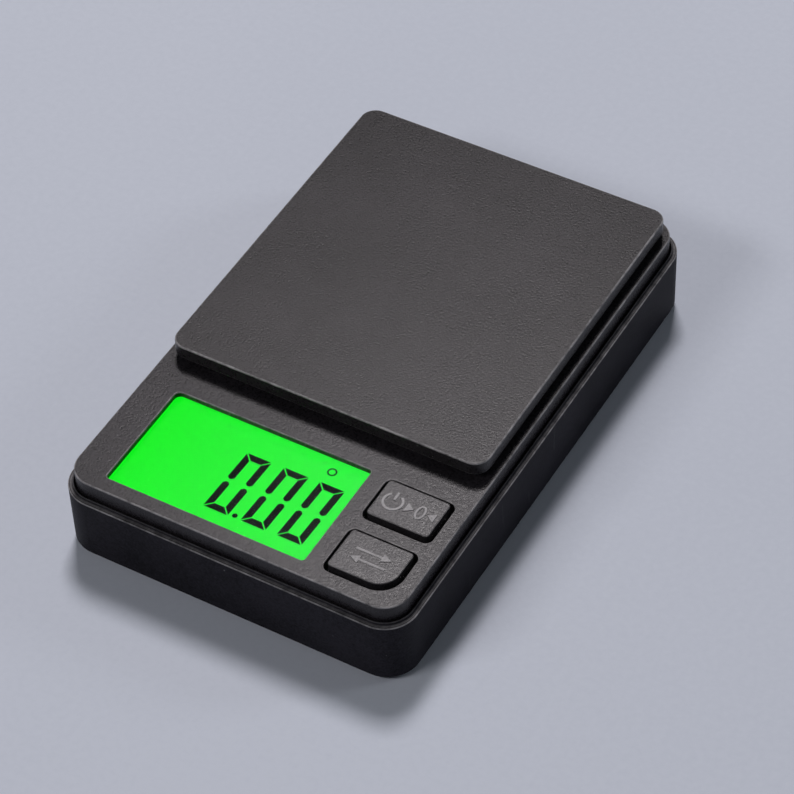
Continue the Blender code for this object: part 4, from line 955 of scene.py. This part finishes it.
def across(outline, x, ease):
    """A skin swept along X over an outline of (y, z) points, its ends drawn in by the ease."""
    skin = Skin()
    cy = sum(p[0] for p in outline) / len(outline)
    cz = sum(p[1] for p in outline) / len(outline)
    share_y = 1 - ease / (max(p[0] for p in outline) - cy)
    share_z = 1 - ease / (max(p[1] for p in outline) - cz)
    shrunk = [(cy + (y - cy) * share_y, cz + (z - cz) * share_z) for y, z in outline]
    loops = []
    for at, shape in ((x[0], shrunk), (x[0] + ease, outline), (x[1] - ease, outline), (x[1], shrunk)):
        first = len(skin.points)
        skin.points += [(at, py, pz) for py, pz in shape]
        skin.wear_and_highlight += [0.0] * len(shape)
        loops.append(list(range(first, len(skin.points))))
    for a, b in zip(loops, loops[1:]):
        skin.band(a, b)
    for loop in (loops[0], loops[-1]):
        skin.faces.append(tuple(loop))
    return skin


HOOK_PLACES = (-12.0, 12.0)
HOOK_WIDTH = 5.0
GRIP_COUNT = 4
GRIP_START = 2.2
GRIP_PITCH = 1.6
GRIP_HALF = 5.0
ARROW_PLACE = 10.4


def make_door():
    """The battery door: a plate with a rounded hinge edge, two hooks, thumb grooves and an arrow."""
    low = DOOR.z[0]
    half = (FLOOR_TOP - low) / 2
    axis_y = DOOR.y[1] - 0.6 - half
    turns = [math.radians(-90 + 180 * i / 14) for i in range(15)]
    hinge = [(axis_y + half * math.cos(a), low + half + half * math.sin(a)) for a in turns]
    front = DOOR.y[0]
    front_edge = [(front + 0.12, FLOOR_TOP), (front, FLOOR_TOP - 0.12), (front, low + 0.12)]
    outline = [(front + 0.12, low), *hinge, *front_edge]
    plate = across(outline, DOOR.x, 0.12).mesh("door_plate")
    hooks = []
    for x in HOOK_PLACES:
        hook = [
            (axis_y - 1.2, FLOOR_TOP - 0.3),
            (axis_y - 0.2, FLOOR_TOP - 0.3),
            (axis_y - 0.2, DOOR.z[1] - 0.5),
            (DOOR.y[1] - 0.08, DOOR.z[1] - 0.5),
            (DOOR.y[1], DOOR.z[1] - 0.42),
            (DOOR.y[1], DOOR.z[1] - 0.1),
            (DOOR.y[1] - 0.1, DOOR.z[1]),
            (axis_y - 0.9, DOOR.z[1]),
        ]
        hooks.append(across(hook, (x - HOOK_WIDTH / 2, x + HOOK_WIDTH / 2), 0.08))
    plate = boolean(plate, "UNION", hooks)
    grooves = []
    for i in range(GRIP_COUNT):
        y = front + GRIP_START + GRIP_PITCH * i
        ring = [math.radians(360 * k / 20) for k in range(20)]
        groove = [(y + 0.42 * math.cos(a), low - 0.02 + 0.37 * math.sin(a)) for a in ring]
        grooves.append(across(groove, (-GRIP_HALF, GRIP_HALF), 0.2))
    arrow_y = front + ARROW_PLACE
    arrow = polygon([(-1.9, arrow_y), (1.9, arrow_y), (0.0, arrow_y - 1.7)], (low - 0.2, low + 0.2))
    plate = boolean(plate, "DIFFERENCE", [*grooves, arrow])
    piece("battery_door_plate", plate, tray_black, "battery_door", ["battery_door"])


BAND_SHARE = 0.7


def wrapped(name, edge_x, nub_side):
    """A dark printed sleeve with a copper-coloured band towards the nub."""
    g = Graph(name)
    fine = g.noise(500, 4.0, 0.6)
    reach = g.math("MULTIPLY", g.math("SUBTRACT", g.axis("X"), edge_x * MM), nub_side)
    band = g.span(reach, -0.05 * MM, 0.05 * MM)
    dark = g.mix(g.span(fine, 0.34, 0.66), (0.014, 0.016, 0.018), (0.026, 0.029, 0.032))
    copper = g.mix(g.span(fine, 0.34, 0.66), (0.42, 0.20, 0.09), (0.52, 0.26, 0.12))
    g.look(
        Base_Color=g.mix(band, dark, copper),
        Roughness=g.span(fine, 0.3, 0.7, 0.24, 0.34),
        Metallic=g.math("MULTIPLY", band, 0.8),
        Coat_Weight=0.3,
        Normal=g.bump(fine, 0.003 * MM),
    )
    return g.material


def make_battery(name, nub_side):
    """A cylindrical cell: a steel can with a rolled rim and nub, in a printed sleeve with a coloured band."""
    place = Place(name)
    radius = (place.z[1] - place.z[0]) / 2
    length = place.x[1] - place.x[0]
    can = radius - 0.12
    start = place.x[0] if nub_side > 0 else place.x[1]
    foot = Matrix.Translation(Vector((start, place.middle[1], place.middle[2])) * MM)
    turn = foot @ Matrix.Rotation(math.pi / 2 * nub_side, 4, "Y")
    can_steps = [
        (can - 1.3, 0.12),
        (can - 0.9, 0.0),
        (can - 0.35, 0.0),
        (can, 0.35),
        (can, length - 1.5),
        (can - 0.45, length - 1.05),
        (can - 0.8, length - 0.95),
        (can - 1.1, length - 1.15),
        (2.3, length - 1.15),
        (2.0, length - 0.95),
        (1.9, length - 0.2),
        (1.65, length),
    ]
    can_mesh = lathe(0.0, 0.0, can_steps).mesh(f"{name}_can")
    can_mesh.transform(turn)
    piece(f"{name}_can", can_mesh, nickel, "scale_case")
    sleeve_steps = [
        (radius - 0.5, 0.16),
        (radius - 0.12, 0.3),
        (radius, 0.6),
        (radius, length - 1.9),
        (radius - 0.1, length - 1.6),
        (radius - 0.5, length - 1.28),
    ]
    mesh = lathe(0.0, 0.0, sleeve_steps, 72).mesh(f"{name}_sleeve")
    mesh.transform(turn)
    wrap = wrapped(f"{name}_wrap", start + nub_side * length * BAND_SHARE, nub_side)
    piece(f"{name}_sleeve", mesh, wrap, "scale_case", [name])


# ---------------------------------------------------------------- parts that keep their own solid


def keep(names, material, edge=0.1):
    """Gives parts that keep their own solid a finish and eased edges."""
    for name in names:
        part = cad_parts[name]
        part.data.materials.clear()
        part.data.materials.append(material)
        weld = part.modifiers.new("weld", "WELD")
        weld.merge_threshold = 1e-6
        flat = part.modifiers.new("flat_faces", "DECIMATE")
        flat.decimate_type = "DISSOLVE"
        flat.angle_limit = math.radians(1.0)
        if edge:
            ease = part.modifiers.new("eased_edges", "BEVEL")
            ease.width = edge * MM
            ease.segments = 2
            ease.limit_method = "ANGLE"
            ease.angle_limit = math.radians(40)
            ease.use_clamp_overlap = True
        weigh = part.modifiers.new("weighted_normals", "WEIGHTED_NORMAL")
        weigh.keep_sharp = True


steel = plain("screw_steel", (0.42, 0.42, 0.43), (0.60, 0.60, 0.61), 0.32, 1400, metallic=1.0)
nickel = plain("spring_nickel", (0.52, 0.50, 0.45), (0.68, 0.66, 0.60), 0.28, 1800, metallic=1.0)
milled = (60, 2600, 900)
aluminium = plain("milled_aluminium", (0.55, 0.56, 0.58), (0.74, 0.75, 0.77), 0.38, 500, 1.0, stretch=milled)
rubber_black = plain("foot_rubber_black", (0.016, 0.016, 0.017), (0.030, 0.030, 0.031), 0.75, 3200, depth=0.012)
rubber_grey = plain("pad_rubber_grey", (0.045, 0.045, 0.048), (0.08, 0.08, 0.083), 0.8, 2600, depth=0.012)
white_plastic = plain("frame_white_plastic", (0.62, 0.62, 0.60), (0.72, 0.72, 0.70), 0.45, 2400)
guide_clear = plain("light_guide_acrylic", (0.70, 0.78, 0.71), (0.82, 0.90, 0.84), 0.2, 1500)
rear_glass = plain("rear_glass_tint", (0.55, 0.66, 0.58), (0.68, 0.78, 0.70), 0.12, 700)
led_white = plain("led_package_white", (0.80, 0.78, 0.62), (0.90, 0.89, 0.78), 0.35, 2500)
board_green = plain("solder_mask_green", (0.008, 0.085, 0.030), (0.014, 0.13, 0.045), 0.3, 1300, coat=0.4)
epoxy_black = plain("chip_epoxy_black", (0.008, 0.008, 0.009), (0.018, 0.018, 0.019), 0.3, 900, coat=0.3)
sleeve_blue = plain("capacitor_sleeve_blue", (0.010, 0.020, 0.13), (0.018, 0.034, 0.19), 0.25, 1200, coat=0.5)
switch_grey = plain("switch_plastic_grey", (0.02, 0.02, 0.021), (0.035, 0.035, 0.036), 0.4, 2600)
plunger_grey = plain("plunger_plastic_grey", (0.06, 0.06, 0.062), (0.09, 0.09, 0.092), 0.4, 2600)
gauge_tan = plain("gauge_resin_tan", (0.62, 0.58, 0.44), (0.74, 0.70, 0.56), 0.5, 1400)
wire_red = plain("wire_red", (0.40, 0.012, 0.010), (0.52, 0.02, 0.016), 0.4, 2000)
wire_black = plain("wire_black", (0.012, 0.012, 0.012), (0.022, 0.022, 0.022), 0.4, 2000)
wire_grey = plain("wire_grey", (0.20, 0.20, 0.21), (0.28, 0.28, 0.29), 0.4, 2000)

make_door()
for screw_name, screw in SCREWS.items():
    make_screw(screw_name, screw["head"], screw["shank"])
for foot_name in FEET:
    make_foot(foot_name)
make_battery("battery_front", 1)
make_battery("battery_rear", -1)
keep(["platform_carrier"], carrier_black, 0.2)
keep(["platform_pad_left", "platform_pad_right", "display_connector"], rubber_grey)
keep(["overload_stop", "load_cell_spacer", "crystal"], steel)
keep(["carrier_screw_inner", "carrier_screw_outer", "board_screw_left", "board_screw_right"], steel, 0.08)
keep(["load_cell"], aluminium, 0.15)
keep(["lcd_rear_glass"], rear_glass)
keep(["backlight_guide"], guide_clear)
keep(["backlight_led"], led_white)
keep(["display_frame"], white_plastic)
keep(["main_pcb"], board_green, 0.05)
keep(["controller_chip", "converter_chip"], epoxy_black)
keep(["capacitor"], sleeve_blue)
keep(["power_switch", "mode_switch"], switch_grey)
keep(["power_switch_plunger", "mode_switch_plunger"], plunger_grey)
keep(["strain_gauge_top", "strain_gauge_bottom"], gauge_tan)
keep(["battery_bridge_plate", "battery_positive_plate", "battery_negative_plate"], nickel, 0.05)
keep(["battery_bridge_spring", "battery_negative_spring"], nickel, 0.0)
keep(["positive_wire"], wire_red, 0.0)
keep(["negative_wire"], wire_black, 0.0)
keep(["load_cell_lead"], wire_grey, 0.0)


# ---------------------------------------------------------------- studio


FLOOR_SIZE = 6.0
AIR_COLOUR = (0.80, 0.88, 1.0, 1.0)
AIR_STRENGTH = 0.05


def make_floor():
    bpy.ops.mesh.primitive_grid_add(x_subdivisions=8, y_subdivisions=8, size=FLOOR_SIZE, location=(0, 0, 0))
    floor = bpy.context.object
    floor.name = "studio_floor"
    g = Graph("floor_pale_paper")
    fibre = g.noise(900, 4.0, 0.6)
    cloud = g.noise(6, 2.0)
    body = g.math("ADD", g.math("MULTIPLY", fibre, 0.5), g.math("MULTIPLY", cloud, 0.5))
    g.look(
        Base_Color=g.mix(g.span(body, 0.4, 0.6), (0.66, 0.71, 0.80), (0.69, 0.74, 0.83)),
        Roughness=g.span(fibre, 0.3, 0.7, 0.85, 0.95),
        Specular_IOR_Level=0.1,
        Normal=g.bump(fibre, 0.02 * MM),
    )
    floor.data.materials.append(g.material)


def softbox(name, azimuth, elevation, distance, size, radiance, colour):
    """An area light aimed at the scale. Azimuth is 0 behind it and 90 to its right."""
    a, e = math.radians(azimuth), math.radians(elevation)
    direction = Vector((math.sin(a) * math.cos(e), math.cos(a) * math.cos(e), math.sin(e)))
    light = bpy.data.lights.new(name, "AREA")
    light.shape = "RECTANGLE"
    light.size, light.size_y = size
    light.energy = radiance * math.pi * size[0] * size[1]
    light.color = colour
    lamp = bpy.data.objects.new(name, light)
    lamp.location = direction * distance
    lamp.rotation_euler = direction.to_track_quat("Z", "Y").to_euler()
    bpy.context.scene.collection.objects.link(lamp)


def make_studio():
    make_floor()
    softbox(
        "back_softbox",
        azimuth=-28,
        elevation=60,
        distance=1.6,
        size=(0.34, 0.36),
        radiance=34.0,
        colour=(1.0, 0.95, 0.97),
    )
    softbox(
        "front_edge_light",
        azimuth=-150,
        elevation=42,
        distance=1.4,
        size=(0.55, 0.22),
        radiance=11.0,
        colour=(1.0, 0.97, 0.98),
    )
    softbox(
        "right_edge_light",
        azimuth=50,
        elevation=28,
        distance=1.4,
        size=(0.30, 0.30),
        radiance=6.0,
        colour=(0.95, 0.97, 1.0),
    )
    world = bpy.data.worlds.new("studio_air")
    bpy.context.scene.world = world
    world.use_nodes = True
    air = world.node_tree.nodes["Background"]
    air.inputs["Color"].default_value = AIR_COLOUR
    air.inputs["Strength"].default_value = AIR_STRENGTH
    bpy.context.scene.view_settings.view_transform = "Standard"


CAMERA_PLACE = (0.172972, -0.274386, 0.350023)
CAMERA_TURN = (43.09768814, 1.83376772, 29.91394079)
LENS_LENGTH = 144.99


def make_camera():
    camera = bpy.data.cameras.new("studio_camera")
    camera.lens = LENS_LENGTH
    camera.sensor_width = 36.0
    camera.clip_start = 0.02
    camera.clip_end = 20.0
    holder = bpy.data.objects.new("studio_camera", camera)
    holder.location = CAMERA_PLACE
    holder.rotation_euler = [math.radians(a) for a in CAMERA_TURN]
    bpy.context.scene.collection.objects.link(holder)
    bpy.context.scene.camera = holder


make_studio()
make_camera()
